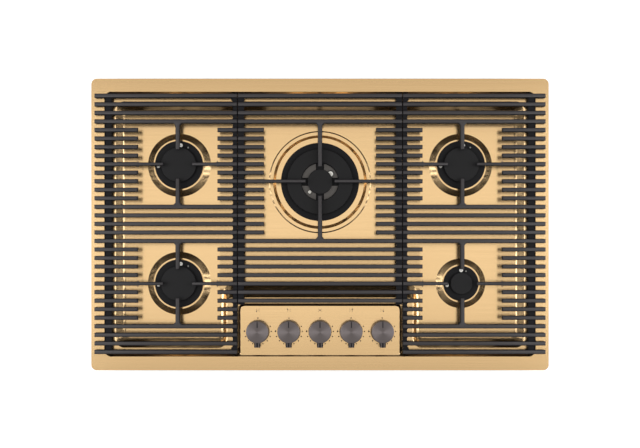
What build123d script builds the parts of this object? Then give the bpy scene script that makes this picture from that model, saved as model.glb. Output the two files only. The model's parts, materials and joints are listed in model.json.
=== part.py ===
from build123d import *
from dataclasses import dataclass
from math import atan2, cos, radians, sin, tan
import os

# A built-in gas cooktop for a 90 cm worktop cut-out: a pressed steel tray with a raised rim, five
# burners, three slatted cast-iron grates and five push-and-turn knobs on a panel island in front.
# Millimetres. +X is right, +Y is back, +Z is up. The origin is at the middle of the plan, on the
# underside of the base pan.

# --- Heights, all above the underside of the base pan ---
RIM_Z = 64.0
EDGE_FOLD = 5.4
PANEL_DROP = 3.0
LEDGE_DROP = 7.0
DECK_DROP = 21.0
BOSS_RISE = 7.0
GRATE_RISE = 14.0
RAIL_RISE = 9.0
KNOB_RISE = 25.0

PANEL_Z = RIM_Z - PANEL_DROP
LEDGE_Z = RIM_Z - LEDGE_DROP
DECK_Z = RIM_Z - DECK_DROP
BOSS_Z = DECK_Z + BOSS_RISE
GRATE_Z = RIM_Z + GRATE_RISE
RAIL_Z = RIM_Z + RAIL_RISE
KNOB_Z = RIM_Z + KNOB_RISE

# --- Pressed tray ---
SHEET = 1.2
RIM_X = 900.0
RIM_Y = 574.0
RIM_CORNER = 11.0
SIDE_RIM = 26.0
BACK_RIM = 26.0
FRONT_RIM = 27.4
WALL_RUN = 5.0
RECESS_CORNER = 14.0
LEDGE_SIDE = 20.3
LEDGE_BACK = 18.5
LEDGE_FRONT = 17.1
LEDGE_CORNER = 19.0
SLOPE_RUN = 15.5
DECK_CORNER = 12.0
RIM_EDGE_RADIUS = 1.2
LEDGE_EDGE_RADIUS = 3.0
DECK_EDGE_RADIUS = 8.5

# --- Panel island ---
PANEL_X = 314.0
PANEL_RUN = 5.0
PANEL_CORNER = 8.0
PANEL_EDGE_RADIUS = 1.5
PANEL_COVE_RADIUS = 4.0
PANEL_BAR_GAP = 10.7
ISLAND_LEDGE_SIDE = 28.0
ISLAND_LEDGE_BACK = 16.3
ISLAND_SIDE_RUN = 5.0
ISLAND_BACK_RUN = 28.0
ISLAND_CORNER = 14.0
ISLAND_FOOT_CORNER = 24.0
COVE_CORNER = 17.0
COVE_FOOT_CORNER = 12.0
CUT_CLEAR = 1.0

RECESS_X = RIM_X / 2 - SIDE_RIM
RECESS_BACK = RIM_Y / 2 - BACK_RIM
RECESS_FRONT = -RIM_Y / 2 + FRONT_RIM

# --- Grates ---
BAR_COUNT = 31
BAR_WIDTH = 8.0
BAR_DEPTH = 10.0
BAR_BACK_GAP = 9.1
BAR_FRONT_GAP = 9.6
BAR_OVERHANG = 8.5
SEAM_X = 161.5
SEAM_GAP = 1.0
RAIL_WIDTH = 11.5
RAIL_DEPTH = 12.5
RAIL_WALL_GAP = 3.5
GRATE_CORNER = 10.0
CENTRE_RAIL_WIDTH = 11.5
RAIL_SEAM_INSET = 1.2
INNER_RAIL_WIDTH = 8.0
FOOT_PAD = 11.0
FOOT_INSET = 3.0
FOOT_RADIUS = 3.5
FOOT_HEIGHT = 2.5
PEG_RADIUS = 1.8
PEG_HEIGHT = 4.0
FIT_GAP = 0.1
SIDE_WINDOW = 78.0
CENTRE_WINDOW = 110.0
FINGER_REACH = 28.0
FINGER_WIDTH = 8.3
CROSS_FINGER_WIDTH = 6.4
FINGER_TIP_DEPTH = 7.0
GUSSET = 4.0
SIDE_FINGER_ROWS = (8, 22)
CENTRE_FINGER_ROW = 10
CENTRE_LAST_ROW = 24
SIDE_CROSS_ROWS = (3, 13, 17, 27)
CENTRE_CROSS_ROWS = (3, 17)

# --- Burners ---
SIDE_BURNER_SHIFT = 22.95
HOLE_INSET = 6.4
CUP_GAP = 0.5
CUP_WALL = 3.0
CUP_PROUD = 0.4
CUP_FLANGE_INSET = 3.6
CUP_FLANGE = 3.0
CUP_DEPTH = 33.0
CROWN_BASE = 3.2
PORT_HEIGHT = 4.2
PORT_WIDTH = 1.8
PORT_RING = 3.0
PORT_RING_INSET = 0.9
CAP_THICKNESS = 3.4
CAP_EDGE_RADIUS = 1.0
CAP_SKIRT = 2.4
THROAT_RADIUS = 13.0
THROAT_WALL = 2.5
THROAT_LENGTH = 18.0
INJECTOR_Z = 14.0
TUBE_RADIUS = 4.0
TUBE_BORE = 3.0
TUBE_SOCKET = 12.0
JET_RADIUS = 4.5
JET_HEIGHT = 13.0
JET_BORE = 0.6
ELECTRODE_RADIUS = 3.5
ELECTRODE_TIP = 1.0
PROBE_RADIUS = 2.2
PROBE_COLLAR = 3.2

# --- Panel controls ---
KNOB_PITCH = 61.2
KNOB_BACK_SHIFT = -0.55
KNOB_RADIUS = 22.8
KNOB_TOP_RADIUS = 21.7
KNOB_HEIGHT = 24.0
KNOB_WALL = 2.5
KNOB_ROOF = 4.0
NIB_REACH = 30.2
NIB_ROOT_WIDTH = 13.5
NIB_TIP_WIDTH = 11.0
NIB_DROP = 3.0
NIB_GROOVE = 0.8
NIB_GROOVES = 4
POINTER_WIDTH = 2.0
POINTER_LENGTH = 12.0
POINTER_DEPTH = 0.6
KNOB_EDGE_RADIUS = 1.0
SPINDLE_FLAT = 1.9
FLAT_LENGTH = 12.0
HUB_RADIUS = 7.0
SPINDLE_RADIUS = 3.0
BODY_GAP = 0.4
RUN_GAP = 0.05

# --- Taps and gas line ---
TAP_SIZE = 24.0
TAP_BOTTOM = 12.0
TAP_TOP = 46.0
PLUG_RADIUS = 6.0
PLUG_BOTTOM = 16.0
PLUG_TOP = 34.0
CHAMBER_RADIUS = 7.5
COVER_THICKNESS = 1.5
COLLAR_RADIUS = 6.3
COLLAR_THICKNESS = 1.5
BLADE_THICKNESS = 2.4
BLADE_REACH = 3.0
SLOT_DEPTH = 7.0
SPRING_RADIUS = 5.2
SPRING_WIRE = 0.45
SPRING_PITCH = 1.7
MANIFOLD_RADIUS = 8.0
MANIFOLD_WALL = 1.2
MANIFOLD_Z = 22.0
MANIFOLD_SHIFT = 22.5
MANIFOLD_END = 145.0
NIPPLE_RADIUS = 4.0
TUBE_TOP_Z = 35.0
INLET_SIDE = 24.5
INLET_BACK = 18.5
INLET_RADIUS = 10.48
INLET_BORE = 7.0
INLET_LENGTH = 16.0
ELBOW_RADIUS = 10.5
ELBOW_BODY = 12.5
ELBOW_BORE = 6.2
ELBOW_Z = 34.0
ELBOW_TURN = 2.3

# --- Base pan ---
PAN_SHEET = 1.0
PAN_INSET = 3.0
PAN_LIP = 10.0
STUD_INSET = 5.5
PAN_CORNER = 10.0
NOTCH_WIDTH = 76.0
NOTCH_LENGTH = 43.0
NOTCH_Z = 21.0
STUD_RADIUS = 2.0
STUD_LENGTH = 9.0
NUT_RADIUS = 4.0
NUT_HEIGHT = 3.2
STUD_FROM_SIDE = 171.0
STUD_FROM_BACK = 138.0
VENT_LENGTH = 34.0
VENT_WIDTH = 3.0
VENT_COUNT = 9
VENT_PITCH = 11.0
SEAL_WIDTH = 10.0
SEAL_INSET = 3.0
SEAL_PROUD = 0.3
GLAND_SIDE = 91.0
GLAND_Z = 22.0
CORD_RADIUS = 4.0

# --- Smaller sizes: bosses, screws, clamps, bushes, sockets and the electrics ---
ELECTRODE_BOSS = 6.0
PROBE_BOSS = 5.0
SCREW_ANGLES = (30, 150, 270)
SCREW_INSET = 3.4
SCREW_RADIUS = 1.9
SCREW_HEAD_RADIUS = 3.2
SCREW_HEAD = 2.4
SCREW_GRIP = 7.0
SEAL_INNER_CORNER = 4.0
VENT_SIDE = 231.0
GLAND_RADIUS = 8.5
GLAND_FLANGE = 11.5
GLAND_FLANGE_THICKNESS = 3.0
GLAND_INSIDE = 9.0
GLAND_OUTSIDE = 5.0
INLET_NECK = 10.0
INLET_LOCK = 2.0
ELBOW_FLANGE = 14.0
ELBOW_FLANGE_THICKNESS = 4.0
ELBOW_SOCKET = 20.0
ELBOW_SOCKET_END = 12.0
CLAMP_SIDE = 161.0
CLAMP_WIDTH = 16.0
CLAMP_SHEET = 1.5
CLAMP_REACH = 20.0
CLAMP_HEIGHT = 28.0
CLAMP_FOOT_Z = 13.0
CLAMP_SCREW_OUT = 13.0
CLAMP_SCREW_Z = 33.0
CLAMP_PRESS_Z = 28.0
CENTRE_FOOT_SHIFT = 2.2
SOCKET_PROUD = 6.0
SOCKET_RADIUS = 6.0
JET_BOSS = 8.0
JET_BOSS_DROP = 1.0
JET_SEAT = 3.6
PIN_TURN = 22.0
PIN_RADIUS = 1.3
PIN_PROUD = 0.5
CROWN_BEVEL = 0.6
PORT_SPILL = 2.4
PORT_SINK = 0.8
SLOT_START = 5.0
LIFT_GAP = 0.5
WOK_THROAT = 20.0
WOK_SKIRT = 6.0
WOK_PLATE_OUT = 36.4
WOK_CHANNEL_CUT = 1.6
WOK_RING_WALL = 37.8
CAP_SKIRT_WALL = 2.0
WOK_ELECTRODE_TOP = 55.4
WOK_ELECTRODE_BORE = 2.2
ELECTRODE_PROUD = 2.4
ELECTRODE_BOTTOM = 13.0
PIN_TAIL = 3.0
PROBE_PROUD = 3.4
HUB_LIFT = 3.2
NIB_START = 17.0
POINTER_MARGIN = 1.5
SPINDLE_TOP = 83.0
BLADE_TOP = 40.0
COLLAR_DROP = 0.4
PLUG_WAY = 2.2
BUSH_RADIUS = 6.0
BUSH_FLANGE = 8.5
BUSH_DEPTH = 4.0
BUSH_TOP = 0.8
WOK_OUTLET = 6.0
OUTLET_DEPTH = 4.0
COVER_CORNER = 3.0
MAGNET_Z = 26.0
MAGNET_NECK = 4.0
MAGNET_NECK_RADIUS = 5.0
MAGNET_RADIUS = 7.0
MAGNET_LENGTH = 26.0
SWITCH_X = 18.0
SWITCH_Y = 20.0
SWITCH_Z = 6.4
SUPPLY_SHIFT = 26.5
SUPPLY_TURN = 69.5
SUPPLY_RISE_RUN = 33.0
SUPPLY_BEND = 20.0
MANIFOLD_CAP = 2.0
BRACKET_X = 92.0
BRACKET_WIDTH = 8.0
BRACKET_REACH = 11.0
TUBE_LEAD = 22.0
TUBE_OVER = 19.0
TUBE_DOWN = 52.0
TUBE_BEND = 12.0
STRAIGHT_ANGLE = 0.01
TUBE_ROUND_X = 140.0
TUBE_ROUND_Y = 20.0
MODULE_SIDE = 51.0
MODULE_Y = 0.0
MODULE_WIDTH = 62.0
MODULE_LENGTH = 78.0
MODULE_CORNER = 4.0
MODULE_HEIGHT = 26.0
MODULE_PIN = 2.4
MODULE_PIN_PITCH = 13.0
MODULE_PIN_SHIFT = 20.0
MODULE_PIN_TALL = 6.0
TERMINAL_X = 36.0
TERMINAL_Y = 20.0
TERMINAL_Z = 18.0
TERMINAL_BACK = 53.0
TERMINAL_PITCH = 11.0
TERMINAL_SCREW = 3.0

UNDERSIDE = LEDGE_Z - SHEET
EDGE_BOTTOM = RIM_Z - EDGE_FOLD
PAN_X = RECESS_X - PAN_INSET
PAN_BACK = RECESS_BACK - PAN_INSET
PAN_FRONT = RECESS_FRONT + PAN_INSET
BAR_BOTTOM = GRATE_Z - BAR_DEPTH
FIRST_BAR_Y = RECESS_BACK - BAR_BACK_GAP
LAST_BAR_Y = RECESS_FRONT + BAR_FRONT_GAP
BAR_PITCH = (FIRST_BAR_Y - LAST_BAR_Y) / (BAR_COUNT - 1)
SIDE_BURNER_X = (SEAM_X + SEAM_GAP / 2 + RIM_X / 2 - BAR_OVERHANG) / 2 - SIDE_BURNER_SHIFT
FOOT_TOP = LEDGE_Z + FOOT_HEIGHT


def bar_y(row):
    """The plan position of a grate bar, counted from the back."""
    return FIRST_BAR_Y - BAR_PITCH * row


PANEL_BACK = bar_y(CENTRE_LAST_ROW) - PANEL_BAR_GAP
KNOB_Y = (RECESS_FRONT + PANEL_BACK) / 2 + KNOB_BACK_SHIFT
KNOB_BOTTOM = KNOB_Z - KNOB_HEIGHT
MANIFOLD_Y = KNOB_Y + MANIFOLD_SHIFT
INLET_X = PAN_X - INLET_SIDE
INLET_Y = PAN_BACK - INLET_BACK
NOTCH_X = PAN_X - NOTCH_WIDTH
NOTCH_Y = PAN_BACK - NOTCH_LENGTH
SUPPLY_X = INLET_X - SUPPLY_SHIFT
SUPPLY_Y = INLET_Y - SUPPLY_TURN
GLAND_X = GLAND_SIDE - PAN_X
TERMINAL_FRONT = PAN_BACK - TERMINAL_BACK
MODULE_X = MODULE_SIDE - PAN_X
VENT_X = PAN_X - VENT_SIDE
CLAMP_X = PAN_X - CLAMP_SIDE
STUD_X = PAN_X - STUD_INSET
STUD_SPOTS_X = PAN_X - STUD_FROM_SIDE
STUD_SPOTS_Y = PAN_BACK - STUD_FROM_BACK
STUDS = (
    *[(x, y) for x in (-STUD_X, STUD_X) for y in (-STUD_SPOTS_Y, STUD_SPOTS_Y)],
    *[(x, PAN_BACK - STUD_INSET) for x in (-STUD_SPOTS_X, 0.0, STUD_SPOTS_X)],
    *[(x, PAN_FRONT + STUD_INSET) for x in (-STUD_SPOTS_X, STUD_SPOTS_X)],
)


def around(x, y, radius, angle):
    """A point at a radius and an angle, in degrees, around a burner's centre."""
    return x + radius * cos(radians(angle)), y + radius * sin(radians(angle))


@dataclass
class Burner:
    """One burner: where it stands, the radii of its pieces, and what stands beside its flames."""

    name: str
    x: float
    y: float
    foot: float
    top: float
    crown: float
    cap: float
    ports: int
    electrode_at: tuple
    probe_at: tuple
    tube_angle: float

    @property
    def hole(self):
        return self.crown - HOLE_INSET

    @property
    def cup(self):
        return self.hole - CUP_GAP


BURNERS = (
    Burner("back_left", -SIDE_BURNER_X, bar_y(8), 62.6, 50.6, 47.4, 34.5, 36, (38.9, 84), (40.6, 184), 0),
    Burner("front_left", -SIDE_BURNER_X, bar_y(22), 62.6, 50.6, 47.4, 34.5, 36, (38.9, 84), (40.6, 184), 0),
    Burner("back_right", SIDE_BURNER_X, bar_y(8), 62.6, 50.6, 47.4, 34.5, 36, (38.9, 84), (40.6, 184), 225),
    Burner("front_right", SIDE_BURNER_X, bar_y(22), 49.3, 37.8, 34.7, 21.6, 24, (26, 90), (28, 188), 217),
)
WOK = Burner("wok", 0, bar_y(CENTRE_FINGER_ROW), 92.9, 87.2, 77.2, 24.5, 24, (26, 37), (28.8, 225), 270)
WOK_APRON = 101.5
WOK_APRON_RISE = 1.2
WOK_RING_OUT = 64.6
WOK_RING_IN = 37.2
WOK_RING_PORTS = 60
WOK_ELECTRODE = 5.0
WOK_ELECTRODE_HOLE = 6.75
WOK_PROBE_HOLE = 4.4
WOK_CROSS = 16.0
WOK_CHANNEL_DROP = 5.0
WOK_PLATE_RISE = 1.6
WOK_TUBE_SHIFT = 10.0

KNOBS = (
    ("front_left", -2 * KNOB_PITCH),
    ("back_left", -KNOB_PITCH),
    ("wok", 0.0),
    ("back_right", KNOB_PITCH),
    ("front_right", 2 * KNOB_PITCH),
)

CUP_SCREWS = [
    around(burner.x, burner.y, burner.crown - SCREW_INSET, angle)
    for burner in (*BURNERS, WOK)
    for angle in SCREW_ANGLES
]
CROWN_Z = BOSS_Z + CUP_PROUD
PLATE_Z = CROWN_Z + CROWN_BASE
SEAT_Z = PLATE_Z + PORT_HEIGHT
CUP_BOTTOM = CROWN_Z - CUP_DEPTH

os.makedirs("parts", exist_ok=True)


def save(builder, name):
    """Labels a finished piece and writes it as its own STEP file."""
    builder.part.label = name
    export_step(builder.part, f"parts/{name}.step")


# --- Top plate: one pressing, made as a thick outer form less the recess inside it ---


def lean(rise, run):
    """How far the sheet's underside stands outside its top face where a slope begins."""
    return SHEET * tan(atan2(rise, run) / 2)


def u_outline(side, back, front, island_side, island_back, radii):
    """Adds a rounded U in plan: a wide room with the island standing in the middle of its front."""
    corner, island_corner, cove = radii
    FilletPolyline(
        (-side, back),
        (-side, front),
        (-island_side, front),
        (-island_side, island_back),
        (island_side, island_back),
        (island_side, front),
        (side, front),
        (side, back),
        radius=[corner, corner, cove, island_corner, island_corner, cove, corner, corner],
        close=True,
    )


def tray_form(grow):
    """The recess as a solid, grown outwards and downwards by the sheet's thickness or by nothing."""
    bottom = DECK_Z - grow
    ledge = LEDGE_Z - grow
    panel = PANEL_Z - grow
    top = RIM_Z + (0.0 if grow else CUT_CLEAR)
    depth = LEDGE_Z - DECK_Z
    wall_lean, slope_lean, panel_lean, flank_lean, back_lean = (
        lean(*slope) if grow else 0.0
        for slope in (
            (LEDGE_DROP, WALL_RUN),
            (depth, SLOPE_RUN),
            (PANEL_Z - LEDGE_Z, PANEL_RUN),
            (depth, ISLAND_SIDE_RUN),
            (depth, ISLAND_BACK_RUN),
        )
    )
    side = RECESS_X - LEDGE_SIDE + slope_lean
    back = RECESS_BACK - LEDGE_BACK + slope_lean
    front = RECESS_FRONT + LEDGE_FRONT - slope_lean
    island_side = PANEL_X / 2 + ISLAND_LEDGE_SIDE - flank_lean
    island_back = PANEL_BACK + ISLAND_LEDGE_BACK - back_lean
    with BuildPart() as pocket:
        with BuildSketch(Plane.XY.offset(bottom)):
            with BuildLine():
                u_outline(
                    side - SLOPE_RUN,
                    back - SLOPE_RUN,
                    front + SLOPE_RUN,
                    island_side + ISLAND_SIDE_RUN,
                    island_back + ISLAND_BACK_RUN,
                    (DECK_CORNER + slope_lean, ISLAND_FOOT_CORNER - back_lean, COVE_FOOT_CORNER + slope_lean),
                )
            make_face()
        with BuildSketch(Plane.XY.offset(ledge)):
            with BuildLine():
                u_outline(
                    side,
                    back,
                    front,
                    island_side,
                    island_back,
                    (LEDGE_CORNER + slope_lean, ISLAND_CORNER - back_lean, COVE_CORNER + slope_lean),
                )
            make_face()
        loft(ruled=True)
    foot = WALL_RUN - wall_lean
    above = (top - ledge) / LEDGE_DROP * WALL_RUN - foot
    panel_front = RECESS_FRONT - PANEL_CORNER - 2 * PANEL_RUN
    with BuildPart() as form:
        with BuildSketch(Plane.XY.offset(ledge)):
            with Locations((0, (RECESS_BACK + RECESS_FRONT) / 2)):
                RectangleRounded(
                    2 * (RECESS_X - foot), RECESS_BACK - RECESS_FRONT - 2 * foot, RECESS_CORNER - foot
                )
        with BuildSketch(Plane.XY.offset(top)):
            with Locations((0, (RECESS_BACK + RECESS_FRONT) / 2)):
                RectangleRounded(
                    2 * (RECESS_X + above), RECESS_BACK - RECESS_FRONT + 2 * above, RECESS_CORNER + above
                )
        loft(ruled=True)
        with BuildSketch(Plane.XY.offset(ledge)):
            with Locations((0, (PANEL_BACK + PANEL_RUN - panel_lean + panel_front) / 2)):
                RectangleRounded(
                    PANEL_X + 2 * (PANEL_RUN - panel_lean),
                    PANEL_BACK + PANEL_RUN - panel_lean - panel_front,
                    PANEL_CORNER + PANEL_RUN - panel_lean,
                )
        with BuildSketch(Plane.XY.offset(panel)):
            with Locations((0, (PANEL_BACK - panel_lean + panel_front) / 2)):
                RectangleRounded(
                    PANEL_X - 2 * panel_lean, PANEL_BACK - panel_lean - panel_front, PANEL_CORNER - panel_lean
                )
        loft(ruled=True, mode=Mode.SUBTRACT)
        add(pocket.part)
    return form.part


outer_form = tray_form(SHEET)
inner_form = tray_form(0.0)


def flat_at(part, height):
    """The one flat, level face of a part at a height."""
    flat = part.faces().filter_by(GeomType.PLANE).filter_by(Plane.XY)
    return flat.filter_by(lambda face: abs(face.center().Z - height) < 1e-6)[0]


def upright(x, y):
    """A standing plane through a vertical axis: its own x is outwards and its own y is height."""
    return Plane(origin=(x, y, 0), x_dir=(1, 0, 0), z_dir=(0, -1, 0))


def turn(x, y, points, mode=Mode.ADD):
    """Turns a closed outline of (radius, height) points about the vertical axis at x, y."""
    with BuildSketch(upright(x, y)) as section:
        with BuildLine():
            Polyline(*points, close=True)
        make_face()
    revolve(section.sketch, axis=Axis((x, y, 0), (0, 0, 1)), mode=mode)


def posts(spots, radius, low, high, mode=Mode.ADD):
    """Upright round posts, or round holes, one at each spot."""
    with BuildSketch(Plane.XY.offset(low)) as discs:
        with Locations(*spots):
            Circle(radius)
    extrude(discs.sketch, amount=high - low, mode=mode)


def post(x, y, radius, low, high, mode=Mode.ADD):
    """An upright round post, or a round hole."""
    posts([(x, y)], radius, low, high, mode)


def pipe_ring(x, y, outer, inner, low, high):
    """An upright ring."""
    turn(x, y, ((inner, low), (outer, low), (outer, high), (inner, high)))


def block(low, high, mode=Mode.ADD):
    """A box between two corners."""
    with BuildSketch(Plane.XY.offset(low[2])) as plan:
        with Locations(((low[0] + high[0]) / 2, (low[1] + high[1]) / 2)):
            Rectangle(high[0] - low[0], high[1] - low[1])
    extrude(plan.sketch, amount=high[2] - low[2], mode=mode)


def rod(start, end, radius, mode=Mode.ADD):
    """A round rod, or a round hole, between two points."""
    run = Vector(*end) - Vector(*start)
    with BuildSketch(Plane(origin=start, z_dir=run)) as disc:
        Circle(radius)
    extrude(disc.sketch, amount=run.length, mode=mode)


# Each burner stands in a hole on a raised cone of the deck.

with BuildPart() as cones:
    for burner in BURNERS:
        cone_lean = lean(BOSS_RISE, burner.foot - burner.top)
        cone = (
            (burner.foot, DECK_Z - SHEET),
            (burner.foot, DECK_Z),
            (burner.top, BOSS_Z),
            (burner.hole, BOSS_Z),
            (burner.hole, BOSS_Z - SHEET),
            (burner.top - cone_lean, BOSS_Z - SHEET),
            (burner.foot - cone_lean, DECK_Z - SHEET),
        )
        turn(burner.x, burner.y, cone)
    # The middle one rises in two steps, from a shallow apron round its foot.
    apron_z = DECK_Z + WOK_APRON_RISE
    cone_lean = lean(BOSS_Z - apron_z, WOK.foot - WOK.top)
    apron_lean = lean(WOK_APRON_RISE, 2 * WOK_APRON_RISE)
    cone = (
        (WOK_APRON, DECK_Z - SHEET),
        (WOK_APRON, DECK_Z),
        (WOK_APRON - 2 * WOK_APRON_RISE, apron_z),
        (WOK.foot, apron_z),
        (WOK.top, BOSS_Z),
        (WOK.hole, BOSS_Z),
        (WOK.hole, BOSS_Z - SHEET),
        (WOK.top - cone_lean, BOSS_Z - SHEET),
        (WOK.foot - cone_lean, apron_z - SHEET),
        (WOK_APRON - 2 * WOK_APRON_RISE - apron_lean, apron_z - SHEET),
        (WOK_APRON - apron_lean, DECK_Z - SHEET),
    )
    turn(WOK.x, WOK.y, cone)
    boss_low = BOSS_Z - SHEET
    boss_spots = [around(burner.x, burner.y, *burner.electrode_at) for burner in BURNERS]
    posts(boss_spots, ELECTRODE_BOSS + CUP_GAP, boss_low, BOSS_Z, mode=Mode.SUBTRACT)
    boss_spots = [around(burner.x, burner.y, *burner.probe_at) for burner in BURNERS]
    posts(boss_spots, PROBE_BOSS + CUP_GAP, boss_low, BOSS_Z, mode=Mode.SUBTRACT)
    posts(CUP_SCREWS, SCREW_RADIUS + FIT_GAP, boss_low, BOSS_Z, mode=Mode.SUBTRACT)

with BuildPart() as top_plate:
    with BuildSketch(Plane.XY.offset(EDGE_BOTTOM)):
        RectangleRounded(RIM_X, RIM_Y, RIM_CORNER)
    extrude(amount=EDGE_FOLD)
    with BuildSketch(Plane.XY.offset(EDGE_BOTTOM)):
        RectangleRounded(RIM_X - 2 * SHEET, RIM_Y - 2 * SHEET, RIM_CORNER - SHEET)
    extrude(amount=EDGE_FOLD - SHEET, mode=Mode.SUBTRACT)
    add(outer_form)
    add(inner_form, mode=Mode.SUBTRACT)
    fillet(flat_at(top_plate.part, RIM_Z).inner_wires()[0].edges(), RIM_EDGE_RADIUS)
    fillet(flat_at(top_plate.part, DECK_Z).outer_wire().edges(), DECK_EDGE_RADIUS)
    fillet(flat_at(top_plate.part, LEDGE_Z).inner_wires()[0].edges(), LEDGE_EDGE_RADIUS)
    panel_edges = flat_at(top_plate.part, PANEL_Z).outer_wire().edges().sort_by(Axis.Y)
    fillet(panel_edges[1:], PANEL_EDGE_RADIUS)
    panel_edges = flat_at(top_plate.part, PANEL_Z).outer_wire().edges().sort_by(Axis.Y)
    fillet(panel_edges[0], PANEL_COVE_RADIUS)
    with BuildSketch(Plane.XY.offset(DECK_Z - SHEET)):
        for burner in BURNERS:
            with Locations((burner.x, burner.y)):
                Circle(burner.foot)
        with Locations((WOK.x, WOK.y)):
            Circle(WOK_APRON)
    extrude(amount=SHEET, mode=Mode.SUBTRACT)
    add(cones.part)
    bush_spots = [(x, KNOB_Y) for name, x in KNOBS]
    posts(bush_spots, BUSH_RADIUS + FIT_GAP, PANEL_Z - SHEET, PANEL_Z, mode=Mode.SUBTRACT)
    # Studs welded under the ledge hold the base pan.
    posts(STUDS, STUD_RADIUS, UNDERSIDE - STUD_LENGTH, UNDERSIDE)
save(top_plate, "top_plate")

# --- Foam seal between the rim and the worktop ---

with BuildPart() as rim_seal:
    seal_x = RIM_X - 2 * (SHEET + SEAL_INSET)
    seal_y = RIM_Y - 2 * (SHEET + SEAL_INSET)
    with BuildSketch(Plane.XY.offset(EDGE_BOTTOM - SEAL_PROUD)):
        RectangleRounded(seal_x, seal_y, RIM_CORNER - SEAL_INSET)
        RectangleRounded(
            seal_x - 2 * SEAL_WIDTH,
            seal_y - 2 * SEAL_WIDTH,
            SEAL_INNER_CORNER,
            mode=Mode.SUBTRACT,
        )
    extrude(amount=EDGE_FOLD - SHEET + SEAL_PROUD)
save(rim_seal, "rim_seal")

# --- Base pan: a folded steel tray under everything, notched at the back right for the gas inlet ---


def pan_form(shrink):
    """The pan as a solid, or its inside when shrunk by the sheet's thickness."""
    with BuildPart() as form:
        with BuildSketch(Plane.XY.offset(shrink)):
            with Locations((0, (PAN_BACK + PAN_FRONT) / 2)):
                RectangleRounded(
                    2 * (PAN_X - shrink), PAN_BACK - PAN_FRONT - 2 * shrink, PAN_CORNER - shrink
                )
        extrude(amount=UNDERSIDE - shrink)
        block(
            (NOTCH_X - shrink, NOTCH_Y - shrink, 0),
            (PAN_X + PAN_INSET, PAN_BACK + PAN_INSET, NOTCH_Z + shrink),
            mode=Mode.SUBTRACT,
        )
    return form.part


pan_outside = pan_form(0.0)
pan_inside = pan_form(PAN_SHEET)

with BuildPart() as base_pan:
    add(pan_outside)
    add(pan_inside, mode=Mode.SUBTRACT)
    with BuildSketch(Plane.XY.offset(UNDERSIDE - PAN_SHEET)):
        with Locations((0, (PAN_BACK + PAN_FRONT) / 2)):
            RectangleRounded(2 * PAN_X, PAN_BACK - PAN_FRONT, PAN_CORNER)
            RectangleRounded(
                2 * (PAN_X - PAN_LIP), PAN_BACK - PAN_FRONT - 2 * PAN_LIP, PAN_SHEET, mode=Mode.SUBTRACT
            )
    extrude(amount=PAN_SHEET)
    posts(STUDS, STUD_RADIUS + 2 * FIT_GAP, UNDERSIDE - PAN_SHEET, UNDERSIDE, mode=Mode.SUBTRACT)
    with BuildSketch():
        with Locations((-VENT_X, 0), (VENT_X, 0)):
            with GridLocations(VENT_PITCH, 1, VENT_COUNT, 1):
                SlotOverall(VENT_LENGTH, VENT_WIDTH, rotation=90)
    extrude(amount=PAN_SHEET, mode=Mode.SUBTRACT)
    rod(
        (GLAND_X, PAN_BACK - 2 * PAN_SHEET, GLAND_Z),
        (GLAND_X, PAN_BACK + PAN_SHEET, GLAND_Z),
        GLAND_RADIUS + FIT_GAP,
        Mode.SUBTRACT,
    )
    post(INLET_X, INLET_Y, INLET_NECK + 2 * FIT_GAP, NOTCH_Z, NOTCH_Z + PAN_SHEET, mode=Mode.SUBTRACT)
    for x in (-CLAMP_X, CLAMP_X):
        for y in (PAN_FRONT, PAN_BACK):
            rod(
                (x, y - 2 * PAN_SHEET, CLAMP_SCREW_Z),
                (x, y + 2 * PAN_SHEET, CLAMP_SCREW_Z),
                SCREW_RADIUS + FIT_GAP,
                Mode.SUBTRACT,
            )
save(base_pan, "base_pan")

with BuildPart() as pan_nuts:
    for x, y in STUDS:
        with BuildSketch(Plane.XY.offset(UNDERSIDE - PAN_SHEET - NUT_HEIGHT)):
            with Locations((x, y)):
                RegularPolygon(NUT_RADIUS, 6)
                Circle(STUD_RADIUS + RUN_GAP, mode=Mode.SUBTRACT)
        extrude(amount=NUT_HEIGHT)
save(pan_nuts, "pan_nuts")

# --- Worktop clamps and every screw ---


def outwards(y):
    """+1 at the back of the pan and -1 at the front."""
    return 1 if y > 0 else -1


with BuildPart() as worktop_clamps:
    for x in (-CLAMP_X, CLAMP_X):
        for y in (PAN_FRONT, PAN_BACK):
            side = outwards(y)
            leg = sorted((y, y + side * CLAMP_SHEET))
            foot = sorted((y, y + side * CLAMP_REACH))
            block(
                (x - CLAMP_WIDTH / 2, leg[0], CLAMP_FOOT_Z),
                (x + CLAMP_WIDTH / 2, leg[1], CLAMP_FOOT_Z + CLAMP_HEIGHT),
            )
            block(
                (x - CLAMP_WIDTH / 2, foot[0], CLAMP_FOOT_Z),
                (x + CLAMP_WIDTH / 2, foot[1], CLAMP_FOOT_Z + CLAMP_SHEET),
            )
            rod(
                (x, y - CLAMP_SHEET * 2, CLAMP_SCREW_Z),
                (x, y + CLAMP_SHEET * 2, CLAMP_SCREW_Z),
                SCREW_RADIUS + FIT_GAP,
                Mode.SUBTRACT,
            )
            post(
                x,
                y + side * CLAMP_SCREW_OUT,
                SCREW_RADIUS + FIT_GAP,
                CLAMP_FOOT_Z,
                CLAMP_FOOT_Z + CLAMP_SHEET,
                mode=Mode.SUBTRACT,
            )
save(worktop_clamps, "worktop_clamps")

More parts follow.
